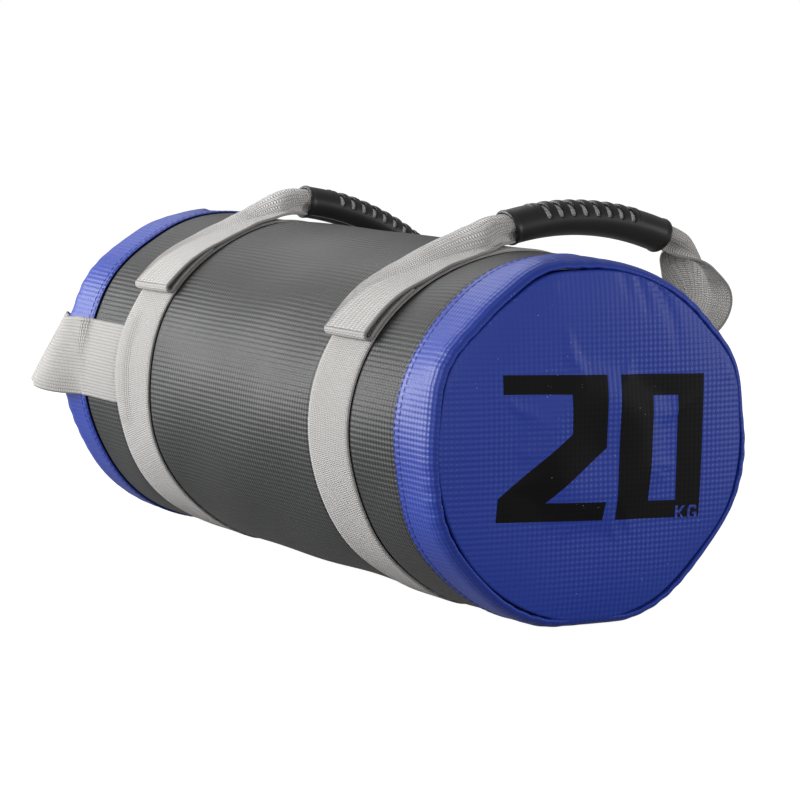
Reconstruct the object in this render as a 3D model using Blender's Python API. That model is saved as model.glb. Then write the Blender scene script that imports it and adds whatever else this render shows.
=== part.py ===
"""A sand-filled power bag with two gripped handles and an end strap, in metres, +Z up.

The bag lies on the floor with its axis along X. The numbered end looks along +X and the
end strap stands out along -X. The origin is on the floor, under the middle of the bag.
"""
import math

import bmesh
import bpy
from mathutils import Vector

MM = 0.001
OBJECT_NAME = "power_bag"

# Body of the bag
bag_radius = 100 * MM
floor_press = 3 * MM
axis_height = bag_radius - floor_press
seam_half_length = 245 * MM
shoulder_drop = 5.5 * MM
seam_radius = bag_radius - shoulder_drop
shoulder_length = 12 * MM
round_steps = 48
inner_steps = 24
fit_gap = 0.3 * MM

# Cover, end bands and end discs
cover_wall = 2.9 * MM
cover_inset = 13 * MM
cover_end = seam_half_length - cover_inset
cover_slope = 4 * MM
band_width = 39 * MM
band_wall = 1.2 * MM
disc_wall = 1.2 * MM
disc_dome = 4.5 * MM
dome_power = 5
disc_allowance = 8 * MM
shoulder_turns = (0, 30, 60, 90)
disc_ring_shares = (0.36, 0.68, 0.89, 1.0)

# Filling
foam_thickness = 8 * MM
foam_disc_thickness = 7 * MM
sack_wall = 0.8 * MM
sack_end_round = 5 * MM
sack_shoulder = 15 * MM
sack_neck_radius = 8 * MM
sack_neck_length = 14 * MM
sack_neck_flare = 3 * MM
sack_shoulder_shares = ((0.0, 1.0), (0.7, 0.7))
tie_width = 4.8 * MM
tie_thickness = 1.4 * MM

# Webbing
web_width = 48 * MM
web_thickness = 1.6 * MM
hoop_offset = 132 * MM
fold_radius = 3 * MM
tail_length = 36 * MM
web_strips = 10
roll_angle = 340
tube_height_share = 0.74
tuck_share = 0.35
near_fold_angle = 146.5
far_fold_angle = 144.0
leg_end_gap = 0.3 * MM

# Moulded grips
grip_length = 103 * MM
grip_bend_radius = 165 * MM
grip_wall = 2.1 * MM
core_clearance = 0.5 * MM
grip_lip_height = 0.6 * MM
grip_lip_length = 4 * MM
grip_rib_height = 0.9 * MM
grip_shoulder_height = 0.5 * MM
grip_steps = 16
bore_stations = 9
slot_count = 8
slot_pitch = 7.75 * MM
slot_width = 3.6 * MM
slot_floor = 1.5 * MM
slot_overrun = 6 * MM

# Mouth of each grip as a share of the bag's radius, and the grip's slope there in degrees
near_mouth_shares = (0.11, 1.087)
near_mouth_angle = 14.1
far_mouth_shares = (0.172, 1.099)
far_mouth_angle = -7.3

# Routes of the front legs: angle round the bag's axis, distance as a share of its radius
near_front_route_shares = ((140, 1.074), (131, 1.06), (119, 1.056), (108, 1.078), (98, 1.12))
far_front_route_shares = ((137, 1.072), (128, 1.056), (116, 1.054), (106, 1.082), (96, 1.135))

# Bow of each back leg, along and out from the line between its root and the grip's end, as shares of it
near_back_bow_shares = (
    (0.023, 0.236), (0.074, 0.464), (0.163, 0.676), (0.315, 0.839), (0.52, 0.913), (0.74, 0.862),
    (0.875, 0.685), (0.941, 0.46), (0.976, 0.229))
far_back_bow_shares = (
    (0.134, 0.435), (0.23, 0.875), (0.333, 1.308), (0.603, 1.646), (1.016, 1.738), (1.375, 1.509),
    (1.563, 1.108), (1.556, 0.652), (1.35, 0.248))
near_back_turn = 50
far_back_turn = 22
back_twist = 12
flattest_roll = 0.01
front_roll_shares = ((0.0, flattest_roll), (0.45, 0.03), (0.66, 0.26), (0.84, 0.8), (1.0, 1.0))
back_roll_shares = ((0.0, flattest_roll), (0.6, 0.05), (0.78, 0.4), (0.9, 0.9), (1.0, 1.0))
front_leg_stations = 15
back_leg_stations = 16
spline_steps = 12
fold_turn_step = 22

# End strap
strap_angle = 173.7
strap_tuck = 18 * MM
strap_reach = 115 * MM
strap_power = 3.0
strap_leg_length = 50 * MM
strap_lean = 9
strap_clearance = 0.5 * MM
strap_leg_stations = 5
strap_loop_stations = 25
strap_plan_steps = 720
strap_slope_steps = 3
strap_spread_shares = (-1, -0.33, 0.33, 1)
bump_margin = 5

COLOURS = {
    "cover": ((0.125, 0.130, 0.130), 0.45),
    "blue": ((0.035, 0.045, 0.26), 0.38),
    "webbing": ((0.47, 0.46, 0.44), 0.85),
    "rubber": ((0.012, 0.012, 0.013), 0.42),
    "foam": ((0.75, 0.75, 0.72), 0.9),
    "sack": ((0.55, 0.55, 0.52), 0.7),
    "tie": ((0.05, 0.05, 0.05), 0.5),
    "sand": ((0.45, 0.36, 0.24), 0.95),
}


def clear_scene():
    """Remove whatever the scene holds."""
    for item in list(bpy.data.objects):
        bpy.data.objects.remove(item, do_unlink=True)


def new_collection(name):
    """Link a new collection to the scene."""
    group = bpy.data.collections.new(name)
    bpy.context.scene.collection.children.link(group)
    return group


def new_material(name, colour, roughness):
    """A Principled material of one colour."""
    material = bpy.data.materials.new(name)
    material.use_nodes = True
    shader = material.node_tree.nodes["Principled BSDF"]
    shader.inputs["Base Color"].default_value = (*colour, 1.0)
    shader.inputs["Roughness"].default_value = roughness
    shader.inputs["Metallic"].default_value = 0.0
    return material


def add_piece(name, mesh_maker, finish, group):
    """Make a named object with its own material from a filled bmesh."""
    mesh = bpy.data.meshes.new(name)
    bmesh.ops.recalc_face_normals(mesh_maker, faces=mesh_maker.faces)
    mesh_maker.to_mesh(mesh)
    mesh_maker.free()
    colour, roughness = COLOURS[finish]
    mesh.materials.append(new_material(name + "_finish", colour, roughness))
    mesh.shade_smooth()
    mesh.set_sharp_from_angle(angle=math.radians(40))
    piece = bpy.data.objects.new(name, mesh)
    group.objects.link(piece)
    return piece


def loft(rings, closed_path=False):
    """Join rings of points, each a closed loop, into one closed body."""
    maker = bmesh.new()
    loops = [[maker.verts.new(point) for point in ring] for ring in rings]
    pairs = list(zip(loops, loops[1:]))
    if closed_path:
        pairs.append((loops[-1], loops[0]))
    else:
        maker.faces.new(loops[0])
        maker.faces.new(list(reversed(loops[-1])))
    for first, second in pairs:
        for index in range(len(first)):
            after = (index + 1) % len(first)
            maker.faces.new((first[index], second[index], second[after], first[after]))
    return maker


def facet_radius(radius, angle):
    """Distance from the axis to the bag's many-sided outline at an angle in degrees."""
    step = 360 / round_steps
    off_middle = angle % step - step / 2
    return radius * math.cos(math.radians(step / 2)) / math.cos(math.radians(off_middle))


def grid_angles(first, last):
    """The outline's corner angles between two angles, and the two angles."""
    step = 360 / round_steps
    inside = [k * step for k in range(math.ceil(first / step), math.floor(last / step) + 1)]
    inside = [angle for angle in inside if first + 1 < angle < last - 1]
    return [first, *inside, last]


def bag_point(x, radius, angle):
    """A point at a distance from the bag's axis, at an angle from +Y towards +Z."""
    turn = math.radians(angle)
    return Vector((x, radius * math.cos(turn), axis_height + radius * math.sin(turn)))


def bag_ring(x, radius, floor, steps, lift=None):
    """A round section of the bag, pressed flat where it meets the floor."""
    points = []
    for k in range(steps):
        angle = 360 * k / steps
        raised = radius + (lift(angle) if lift else 0)
        point = bag_point(x, raised, angle)
        point.z = max(point.z, axis_height - floor)
        points.append(point)
    return points


def turned(outline, steps, closed, lift=None):
    """Turn an outline of (x, radius, floor) about the bag's axis."""
    rings = [bag_ring(x, radius, floor, steps, lift) for x, radius, floor in outline]
    return loft(rings, closed)


def at_depth(x, depth):
    """An outline point that lies a depth below the bag's outside."""
    return (x, bag_radius - depth, axis_height - depth)


def mirrored(outline):
    """The same outline at the other end of the bag."""
    return [(-x, radius, floor) for x, radius, floor in outline]


def hoop_edges():
    """Inner and outer edge of a hoop, counted from the bag's middle."""
    return hoop_offset - web_width / 2, hoop_offset + web_width / 2


def make_cover(group):
    """Cover tube: drawn in under the two hoops and under the end bands."""
    under_hoop = web_thickness + fit_gap
    under_band = band_wall + fit_gap
    inner, outer = hoop_edges()
    band_edge = seam_half_length - band_width
    half = [
        at_depth(inner - fit_gap - cover_slope, 0),
        at_depth(inner - fit_gap, under_hoop),
        at_depth(outer + fit_gap, under_hoop),
        at_depth(outer + fit_gap + cover_slope, 0),
        at_depth(band_edge - fit_gap - cover_slope, 0),
        at_depth(band_edge - fit_gap, under_band),
        at_depth(cover_end, under_band),
    ]
    inside = [at_depth(cover_end, cover_wall), at_depth(-cover_end, cover_wall)]
    outline = [*reversed(mirrored(half)), *half, *inside]
    add_piece("cover_tube", turned(outline, round_steps, True), "cover", group)


def shoulder(radius, length, drop):
    """The band's rounded shoulder, from the side of the bag to the seam."""
    start = seam_half_length - shoulder_length
    points = []
    for turn in shoulder_turns:
        angle = math.radians(turn)
        points.append((start + length * math.sin(angle), radius - drop * (1 - math.cos(angle))))
    return points


def make_band(name, side, group):
    """End band: a folded edge on the cover and a rounded shoulder to the seam."""
    edge = seam_half_length - band_width
    outside = [(x, radius, axis_height)
               for x, radius in shoulder(bag_radius, shoulder_length, shoulder_drop)]
    inner_length = shoulder_length - band_wall
    inner = shoulder(bag_radius - band_wall, inner_length, shoulder_drop - band_wall)
    inside = [(x, radius, axis_height - band_wall) for x, radius in (inner[3], inner[2], inner[0])]
    hem = [at_depth(edge, band_wall), at_depth(edge, 0)]
    outline = [*hem[1:], *outside, *inside, hem[0]]
    outline = outline if side > 0 else mirrored(outline)
    add_piece(name, turned(outline, round_steps, True), "blue", group)


def dome_x(radius):
    """Where the end disc's outside lies at a distance from the axis."""
    rim = seam_radius - fit_gap
    return seam_half_length + disc_dome * (1 - (radius / rim) ** dome_power)


def make_disc(name, side, group):
    """End disc: a shallow dome whose seam allowance is turned into the bag."""
    rim = seam_radius - fit_gap
    rings = [rim * share for share in disc_ring_shares]
    outside = [(dome_x(radius), radius, radius) for radius in rings]
    allowance = [
        (seam_half_length - disc_allowance, rim, rim),
        (seam_half_length - disc_allowance, rim - disc_wall, rim),
        (seam_half_length - disc_wall, rim - disc_wall, rim),
    ]
    inner = [rim * disc_ring_shares[2], rim * disc_ring_shares[0]]
    inside = [(dome_x(radius) - disc_wall, radius, radius) for radius in inner]
    outline = [*outside, *allowance, *inside]
    outline = outline if side > 0 else mirrored(outline)
    add_piece(name, turned(outline, round_steps, False), "blue", group)


def strap_half_angle():
    """Half of the angle that the end strap's width takes on the bag."""
    return math.degrees(web_width / bag_radius) / 2


def hoop_bump(angle):
    """How far the far hoop is lifted by the end strap's tucked ends."""
    step = 360 / round_steps
    reach = strap_half_angle() + bump_margin
    for centre in (strap_angle, 180 - strap_angle):
        off = abs((angle - centre + 180) % 360 - 180)
        if off < reach + step:
            return (web_thickness + fit_gap) * min(1, (reach + step - off) / step)
    return 0


def make_hoop(name, side, lift, group):
    """Webbing hoop, sewn round the cover."""
    inner, outer = hoop_edges()
    outline = [at_depth(inner, 0), at_depth(outer, 0), at_depth(outer, web_thickness),
               at_depth(inner, web_thickness)]
    outline = outline if side > 0 else mirrored(outline)
    add_piece(name, turned(outline, round_steps, True, lift), "webbing", group)


def smooth_route(points, count):
    """Evenly spaced points on a smooth curve through the points given."""
    ends = [points[0] * 2 - points[1], *points, points[-1] * 2 - points[-2]]
    fine = []
    for a, b, c, d in zip(ends, ends[1:], ends[2:], ends[3:]):
        for k in range(spline_steps):
            t = k / spline_steps
            fine.append(0.5 * ((2 * b) + (c - a) * t + (2 * a - 5 * b + 4 * c - d) * t ** 2
                               + (3 * b - a - 3 * c + d) * t ** 3))
    fine.append(points[-1])
    lengths = [0.0]
    for first, second in zip(fine, fine[1:]):
        lengths.append(lengths[-1] + (second - first).length)
    route = []
    for k in range(count):
        wanted = lengths[-1] * k / (count - 1)
        index = max(i for i, length in enumerate(lengths[:-1]) if length <= wanted)
        share = (wanted - lengths[index]) / (lengths[index + 1] - lengths[index])
        route.append(fine[index].lerp(fine[index + 1], share))
    return route


def share_at(table, place):
    """Read a table of (place, share) pairs, with a soft step between them."""
    for (start, low), (end, high) in zip(table, table[1:]):
        if place <= end:
            t = (place - start) / (end - start)
            return low + (high - low) * t * t * (3 - 2 * t)
    return table[-1][1]


def web_section(roll):
    """Section of the webbing, across and up, from flat (0) to rolled into a tube (1)."""
    turn = math.radians(roll_angle) * max(roll, flattest_roll)
    radius = web_width / turn
    squeeze = 1 - (1 - tube_height_share) * roll - tuck_share * 4 * roll * (1 - roll)
    widen = 1 + (1 - squeeze) * roll
    across = []
    for side in (0, 1):
        row = []
        for k in range(web_strips + 1):
            angle = turn * (k / web_strips - 0.5)
            reach = radius - side * web_thickness
            row.append((reach * math.sin(angle) * widen,
                        (reach * math.cos(angle) - radius) * squeeze))
        across.append(row if side == 0 else row[::-1])
    return across[0] + across[1]


def sweep(route, sections, twists, ends=None):
    """Rings of a section carried along a route in the YZ plane, turned by a twist in degrees."""
    rings = []
    count = len(route)
    for k, (point, section, twist) in enumerate(zip(route, sections, twists)):
        if ends and k == 0:
            heading = ends[0]
        elif ends and k == count - 1:
            heading = ends[1]
        else:
            heading = route[min(k + 1, count - 1)] - route[max(k - 1, 0)]
        heading = Vector((0, heading.y, heading.z)).normalized()
        up = Vector((0, -heading.z, heading.y))
        across = Vector((1, 0, 0))
        turn = math.radians(twist)
        wide = across * math.cos(turn) + up * math.sin(turn)
        high = up * math.cos(turn) - across * math.sin(turn)
        rings.append([point + wide * a + high * b for a, b in section])
    return rings


class Handle:
    """Sizes and routes of one handle, in the plane of its hoop."""

    def __init__(self, name, side, fold_angle, mouth, angle, front, back, back_turn):
        self.name = name
        self.x = side * hoop_offset
        self.fold_angle = fold_angle
        self.mouth = self.in_plane(*mouth)
        self.angle = angle
        self.front = front
        self.back = back
        self.back_turn = back_turn

    def in_plane(self, y_share, z_share):
        """A point of the hoop's plane, given as shares of the bag's radius from its axis."""
        return Vector((self.x, y_share * bag_radius, axis_height + z_share * bag_radius))

    def grip_frame(self, distance):
        """Point, heading and up direction on the grip's bent centre line."""
        start = math.radians(self.angle)
        angle = start - distance / grip_bend_radius
        up_start = Vector((0, -math.sin(start), math.cos(start)))
        up = Vector((0, -math.sin(angle), math.cos(angle)))
        heading = Vector((0, math.cos(angle), math.sin(angle)))
        return self.mouth + (up - up_start) * grip_bend_radius, heading, up

    def fold_route(self, turn):
        """Mid line of a sewn tail on the front of the hoop, and of its fold, up to a turn."""
        radius = bag_radius + fit_gap + web_thickness / 2
        start = self.fold_angle - math.degrees(tail_length / bag_radius)
        angles = grid_angles(start, self.fold_angle)
        route = [bag_point(self.x, facet_radius(radius, angle), angle) for angle in angles]
        out = (bag_point(0, 1, self.fold_angle) - bag_point(0, 0, self.fold_angle))
        along = Vector((0, -out.z, out.y))
        centre = route[-1] + out * fold_radius
        steps = max(2, round(turn / fold_turn_step))
        for k in range(1, steps + 1):
            angle = math.radians(turn * k / steps)
            route.append(centre + fold_radius * (along * math.sin(angle) - out * math.cos(angle)))
        return route, (along * math.cos(math.radians(turn)) + out * math.sin(math.radians(turn)))


def to_back(point):
    """The same point on the back of the bag."""
    return Vector((point.x, -point.y, point.z))


def make_tail(handle, place, group):
    """Sewn tail: lies flat on the hoop and turns out into the fold that carries the leg."""
    turn = 180 if place == "front" else handle.back_turn
    route, heading = handle.fold_route(turn)
    begin = route[1] - route[0]
    half = web_thickness / 2
    section = [(-web_width / 2, half), (web_width / 2, half), (web_width / 2, -half), (-web_width / 2, -half)]
    rings = sweep(route, [section] * len(route), [0] * len(route), (begin, heading))
    if place == "back":
        rings = [[to_back(point) for point in ring] for ring in rings]
    add_piece(f"{handle.name}_handle_{place}_tail", loft(rings), "webbing", group)


def core_half_height():
    """Half of the height of the rolled webbing inside a grip."""
    tube = web_section(1.0)
    return (max(p[1] for p in tube) - min(p[1] for p in tube)) / 2


def core_half_width():
    """Half of the width of the rolled webbing inside a grip."""
    return max(p[0] for p in web_section(1.0))


def make_front_leg(handle, group):
    """Front leg: leaves the fold flat, hugs the hoop and rolls up into the grip."""
    fold, heading = handle.fold_route(180)
    out = (bag_point(0, 1, handle.fold_angle) - bag_point(0, 0, handle.fold_angle))
    start = fold[-1] + heading * leg_end_gap + out * web_thickness / 2
    point, end_heading, up = handle.grip_frame(-leg_end_gap)
    inside = point + up * core_half_height()
    before = handle.grip_frame(-fold_radius)
    guide = before[0] + before[2] * core_half_height()
    route = [start, *(bag_point(handle.x, share * bag_radius, angle) for angle, share in handle.front),
             guide, inside]
    route = smooth_route(route, front_leg_stations)
    rolls = [share_at(front_roll_shares, k / (front_leg_stations - 1)) for k in range(front_leg_stations)]
    rings = sweep(route, [web_section(roll) for roll in rolls], [0] * len(route), (heading, end_heading))
    add_piece(f"{handle.name}_handle_front_leg", loft(rings), "webbing", group)


def make_back_leg(handle, group):
    """Back leg: bows out from the back fold, twists and rolls up into the grip."""
    fold, heading = handle.fold_route(handle.back_turn)
    start = to_back(fold[-1] + heading * leg_end_gap)
    heading = to_back(heading)
    side = Vector((0, heading.z, -heading.y))
    start = start + side * web_thickness / 2
    point, end_heading, up = handle.grip_frame(grip_length + leg_end_gap)
    inside = point + up * core_half_height()
    chord = inside - start
    out = Vector((0, chord.z, -chord.y))
    route = [start, *(start + chord * along + out * bow for along, bow in handle.back), inside]
    route = smooth_route(route, back_leg_stations)[::-1]
    count = len(route)
    rolls = [share_at(back_roll_shares, 1 - k / (count - 1)) for k in range(count)]
    twists = [back_twist * math.sin(math.pi * k / (count - 1)) ** 2 for k in range(count)]
    sections = [web_section(roll) for roll in rolls]
    rings = sweep(route, sections, twists, (end_heading, heading * -1))
    add_piece(f"{handle.name}_handle_back_leg", loft(rings), "webbing", group)


def make_core(handle, group):
    """Rolled webbing inside the grip."""
    section = [(a, b + core_half_height()) for a, b in web_section(1.0)]
    rings = []
    for k in range(bore_stations):
        point, heading, up = handle.grip_frame(grip_length * k / (bore_stations - 1))
        rings.append([point + Vector((1, 0, 0)) * a + up * b for a, b in section])
    add_piece(f"{handle.name}_handle_core", loft(rings), "webbing", group)


def oval(half_width, half_height, crown, steps):
    """An oval section, across and up, whose upper half stands higher by a crown."""
    points = []
    for k in range(steps):
        angle = 2 * math.pi * k / steps
        rise = half_height + (crown if math.sin(angle) > 0 else 0)
        points.append((half_width * math.cos(angle), rise * math.sin(angle)))
    return points


def grip_swell(distance):
    """How far the grip stands out of its plain sleeve at a distance from its mouth."""
    to_mouth = min(distance, grip_length - distance)
    lip = grip_lip_height * max(0, 1 - to_mouth / grip_lip_length)
    slots = slot_pitch * slot_count / 2
    off = abs(distance - grip_length / 2)
    rib = grip_rib_height if off < slots else 0
    return lip + grip_shoulder_height * math.sin(math.pi * distance / grip_length), rib


def grip_stops():
    """Distances from the mouth at which the grip's section changes."""
    slots = slot_pitch * slot_count / 2
    middle = grip_length / 2
    ends = [0, grip_lip_length / 2, grip_lip_length, (grip_lip_length + middle - slots) / 2,
            middle - slots - grip_rib_height, middle - slots + grip_rib_height]
    run = [middle - slots + slot_pitch * k for k in range(1, slot_count)]
    return [*ends, *run, *(grip_length - distance for distance in reversed(ends))]


def make_sleeve(handle, half_width, half_height, swell, stops, steps):
    """Rings of a sleeve bent along the grip's centre line."""
    rings = []
    for distance in stops:
        side, crown = swell(distance)
        point, heading, up = handle.grip_frame(distance)
        section = oval(half_width + side, half_height + side, crown, steps)
        rings.append([point + Vector((1, 0, 0)) * a + up * b for a, b in section])
    return rings


def make_slot_cutters(handle, height, group):
    """Round-ended slots across the upper half of the grip."""
    maker = bmesh.new()
    for k in range(slot_count):
        middle = grip_length / 2 + slot_pitch * (k - (slot_count - 1) / 2)
        point, heading, up = handle.grip_frame(middle)
        half = slot_width / 2
        profile = [(-half, height), (-half, slot_floor + half)]
        profile += [(-half * math.cos(math.radians(a)), slot_floor + half - half * math.sin(math.radians(a)))
                    for a in (45, 90, 135)]
        profile += [(half, slot_floor + half), (half, height)]
        rows = []
        for reach in (-height, height):
            rows.append([maker.verts.new(point + Vector((reach, 0, 0)) + heading * a + up * b)
                         for a, b in profile])
        maker.faces.new(rows[0])
        maker.faces.new(rows[1][::-1])
        for i in range(len(profile)):
            j = (i + 1) % len(profile)
            maker.faces.new((rows[0][i], rows[1][i], rows[1][j], rows[0][j]))
    return add_cutter(handle.name + "_slots", maker, group)


def add_cutter(name, maker, group):
    """A hidden object that only cuts."""
    bmesh.ops.recalc_face_normals(maker, faces=maker.faces)
    mesh = bpy.data.meshes.new(name)
    maker.to_mesh(mesh)
    maker.free()
    cutter = bpy.data.objects.new(name, mesh)
    cutter.hide_render = True
    cutter.display_type = "WIRE"
    group.objects.link(cutter)
    return cutter


def cut(piece, cutter):
    """Take a cutter's shape out of a piece."""
    step = piece.modifiers.new("cut_" + cutter.name, "BOOLEAN")
    step.operation = "DIFFERENCE"
    step.solver = "EXACT"
    step.object = cutter


def make_grip(handle, group, cutters):
    """Moulded grip: a bent oval sleeve with a lip at each mouth and slots over its top."""
    bore_width = core_half_width() + core_clearance
    bore_height = core_half_height() + core_clearance
    body = make_sleeve(handle, bore_width + grip_wall, bore_height + grip_wall, grip_swell, grip_stops(),
                       grip_steps)
    grip = add_piece(f"{handle.name}_grip", loft(body), "rubber", group)
    stops = [grip_length * k / (bore_stations - 1) for k in range(bore_stations)]
    stops = [-grip_lip_length, *stops, grip_length + grip_lip_length]
    bore = make_sleeve(handle, bore_width, bore_height, lambda distance: (0, 0), stops, grip_steps)
    cut(grip, add_cutter(handle.name + "_bore", loft(bore), cutters))
    reach = bore_width + grip_wall + slot_overrun
    cut(grip, make_slot_cutters(handle, reach, cutters))


def make_handle(handle, group, cutters):
    """All pieces of one handle."""
    for place in ("front", "back"):
        make_tail(handle, place, group)
    make_front_leg(handle, group)
    make_back_leg(handle, group)
    make_core(handle, group)
    make_grip(handle, group, cutters)


def strap_angles():
    """Angles of the end strap's edges and of the bag's corners between them."""
    half = strap_half_angle()
    return grid_angles(strap_angle - half, strap_angle + half)


def tab_ring(x, lift):
    """A section of the end strap where it lies on the bag, around the bag's outline."""
    angles = strap_angles()
    low = [bag_point(x, facet_radius(bag_radius + lift, a), a) for a in angles]
    high = [bag_point(x, facet_radius(bag_radius + lift + web_thickness, a), a) for a in angles]
    return low + high[::-1]


def make_tab(place, group):
    """Sewn end of the end strap: tucked under the far hoop, then flat on the cover and band."""
    tuck_lift = -web_thickness
    edge = -(hoop_offset + web_width / 2 + fit_gap)
    crease = band_width - seam_half_length
    inner_end = edge + strap_tuck
    stops = [(inner_end, tuck_lift), (edge, tuck_lift), (edge - cover_slope, strap_clearance),
             (crease, strap_clearance)]
    rings = [tab_ring(x, lift) for x, lift in stops]
    if place == "back":
        rings = [[to_back(point) for point in ring] for ring in rings]
    add_piece(f"end_strap_{place}_tab", loft(rings), "webbing", group)


def strap_loop_point(turn):
    """Place and outward direction on the end strap's bow, from the front crease (0) to the back (180)."""
    angle = math.radians(turn)
    half = bag_radius + strap_clearance + web_thickness / 2
    power = 2 / strap_power
    sine, cosine = math.sin(angle), math.cos(angle)
    x = band_width - seam_half_length - strap_reach * abs(sine) ** power
    y = -half * math.copysign(abs(cosine) ** power, cosine)
    return Vector((x, y, 0))


def strap_route():
    """Evenly spaced plan points of the end strap's bow, from crease to crease."""
    fine = [strap_loop_point(180 * k / strap_plan_steps) for k in range(strap_plan_steps + 1)]
    lengths = [0.0]
    for first, second in zip(fine, fine[1:]):
        lengths.append(lengths[-1] + (second - first).length)
    return fine, lengths


def strap_ring(distance, spread):
    """A section of the end strap's bow, leaning out at its lower edge."""
    fine, lengths = strap_route()
    index = max(i for i, length in enumerate(lengths[:-1]) if length <= distance)
    share = (distance - lengths[index]) / (lengths[index + 1] - lengths[index])
    point = fine[index].lerp(fine[index + 1], share)
    before = fine[max(index - strap_slope_steps, 0)]
    after = fine[min(index + strap_slope_steps, len(fine) - 1)]
    along = (after - before).normalized()
    out = Vector((-along.y, along.x, 0))
    lean = math.radians(strap_lean)
    wide = Vector((0, 0, math.cos(lean))) - out * math.sin(lean)
    thick = out * math.cos(lean) + Vector((0, 0, math.sin(lean)))
    centre = axis_height + bag_radius * math.sin(math.radians(strap_angle))
    middle = Vector((point.x, point.y, centre))
    half = web_thickness / 2
    low = [middle + wide * a * web_width / 2 - thick * half for a in spread]
    high = [middle + wide * a * web_width / 2 + thick * half for a in spread]
    return low + high[::-1]


def make_strap_bow(group):
    """The end strap's bow: two legs at the creases and the loop that the hand takes."""
    fine, lengths = strap_route()
    total = lengths[-1]
    spread = strap_spread_shares
    start = leg_end_gap
    leg_stops = [start + (strap_leg_length - start) * k / (strap_leg_stations - 1)
                 for k in range(strap_leg_stations)]
    front = [strap_ring(stop, spread) for stop in leg_stops]
    back = [strap_ring(total - stop, spread) for stop in leg_stops]
    loop_start = strap_leg_length + leg_end_gap
    run = total - 2 * loop_start
    loop = [strap_ring(loop_start + run * k / (strap_loop_stations - 1), spread)
            for k in range(strap_loop_stations)]
    add_piece("end_strap_front_leg", loft(front), "webbing", group)
    add_piece("end_strap_back_leg", loft(back), "webbing", group)
    add_piece("end_strap_loop", loft(loop), "webbing", group)


def make_foam(group):
    """Foam sleeve and end pads round the sand sack."""
    outer = cover_wall + fit_gap
    inner = outer + foam_thickness
    end = foam_disc_back() - fit_gap
    outline = [at_depth(-end, outer), at_depth(end, outer), at_depth(end, inner), at_depth(-end, inner)]
    add_piece("foam_wrap", turned(outline, inner_steps, True), "foam", group)
    disc_rim = seam_radius - fit_gap
    rim = disc_rim - disc_wall - 2 * fit_gap
    middle = disc_rim * disc_ring_shares[0]
    face = [(dome_x(radius) - disc_wall - fit_gap, radius, radius)
            for radius in (middle, disc_rim * disc_ring_shares[2])]
    edge = seam_half_length - disc_wall - disc_allowance / 2
    pad = [*face, (edge, rim, rim), (foam_disc_back(), rim, rim), (foam_disc_back(), middle, middle)]
    add_piece("near_foam_disc", turned(pad, inner_steps, False), "foam", group)
    add_piece("far_foam_disc", turned(mirrored(pad), inner_steps, False), "foam", group)


def foam_disc_back():
    """The flat inner face of an end pad, from the bag's middle."""
    return seam_half_length - disc_allowance - foam_disc_thickness


def sack_outline(offset):
    """Outline of the sack from its neck to its blind end, an offset inside its outside."""
    depth = cover_wall + foam_thickness + 2 * fit_gap
    radius = bag_radius - depth
    floor = axis_height - depth
    mouth = foam_disc_back() - fit_gap
    neck_root = mouth - sack_neck_length
    body = neck_root - sack_shoulder
    neck = sack_neck_radius - offset
    points = [(mouth, neck + sack_neck_flare, floor), (mouth - sack_neck_flare, neck, floor),
              (neck_root - offset, neck, floor)]
    for along, share in reversed(sack_shoulder_shares):
        points.append((body + sack_shoulder * along - offset, radius * share - offset, floor - offset))
    blind = offset - mouth
    points.append((blind + sack_end_round, radius - offset, floor - offset))
    points.append((blind, radius - sack_end_round - offset, floor - offset))
    points.append((blind, radius * disc_ring_shares[0], floor))
    return points


def make_filling(group):
    """Sand in its tied inner sack."""
    outside = sack_outline(0)
    inside = sack_outline(sack_wall)
    rings = [*outside[::-1], *inside]
    add_piece("inner_sack", turned(rings, inner_steps, False), "sack", group)
    sand = sack_outline(sack_wall + fit_gap)[3:]
    top = (sand[0][0], sand[0][1] * disc_ring_shares[0], sand[0][2])
    add_piece("sand_fill", turned([top, *sand], inner_steps, False), "sand", group)
    neck = foam_disc_back() - fit_gap - sack_neck_length / 2
    low = sack_neck_radius + fit_gap
    high = low + tie_thickness
    half = tie_width / 2
    ring = [(neck - half, high, high), (neck + half, high, high), (neck + half, low, low),
            (neck - half, low, low)]
    add_piece("sack_tie", turned(ring, inner_steps, True), "tie", group)


def build():
    """Model the whole bag."""
    clear_scene()
    group = new_collection(OBJECT_NAME)
    cutters = new_collection("cutters")
    make_cover(group)
    for name, side in (("near", 1), ("far", -1)):
        make_band(name + "_end_band", side, group)
        make_disc(name + "_end_disc", side, group)
    make_hoop("near_hoop", 1, None, group)
    make_hoop("far_hoop", -1, hoop_bump, group)
    make_handle(Handle("near", 1, near_fold_angle, near_mouth_shares, near_mouth_angle,
                       near_front_route_shares, near_back_bow_shares, near_back_turn), group, cutters)
    make_handle(Handle("far", -1, far_fold_angle, far_mouth_shares, far_mouth_angle,
                       far_front_route_shares, far_back_bow_shares, far_back_turn), group, cutters)
    for place in ("front", "back"):
        make_tab(place, group)
    make_strap_bow(group)
    make_foam(group)
    make_filling(group)


build()
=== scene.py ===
"""Looks of the filled power bag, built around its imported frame, in metres."""
import math

import bmesh
import bpy
import numpy as np
from mathutils import Matrix, Vector
from mathutils.bvhtree import BVHTree


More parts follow.
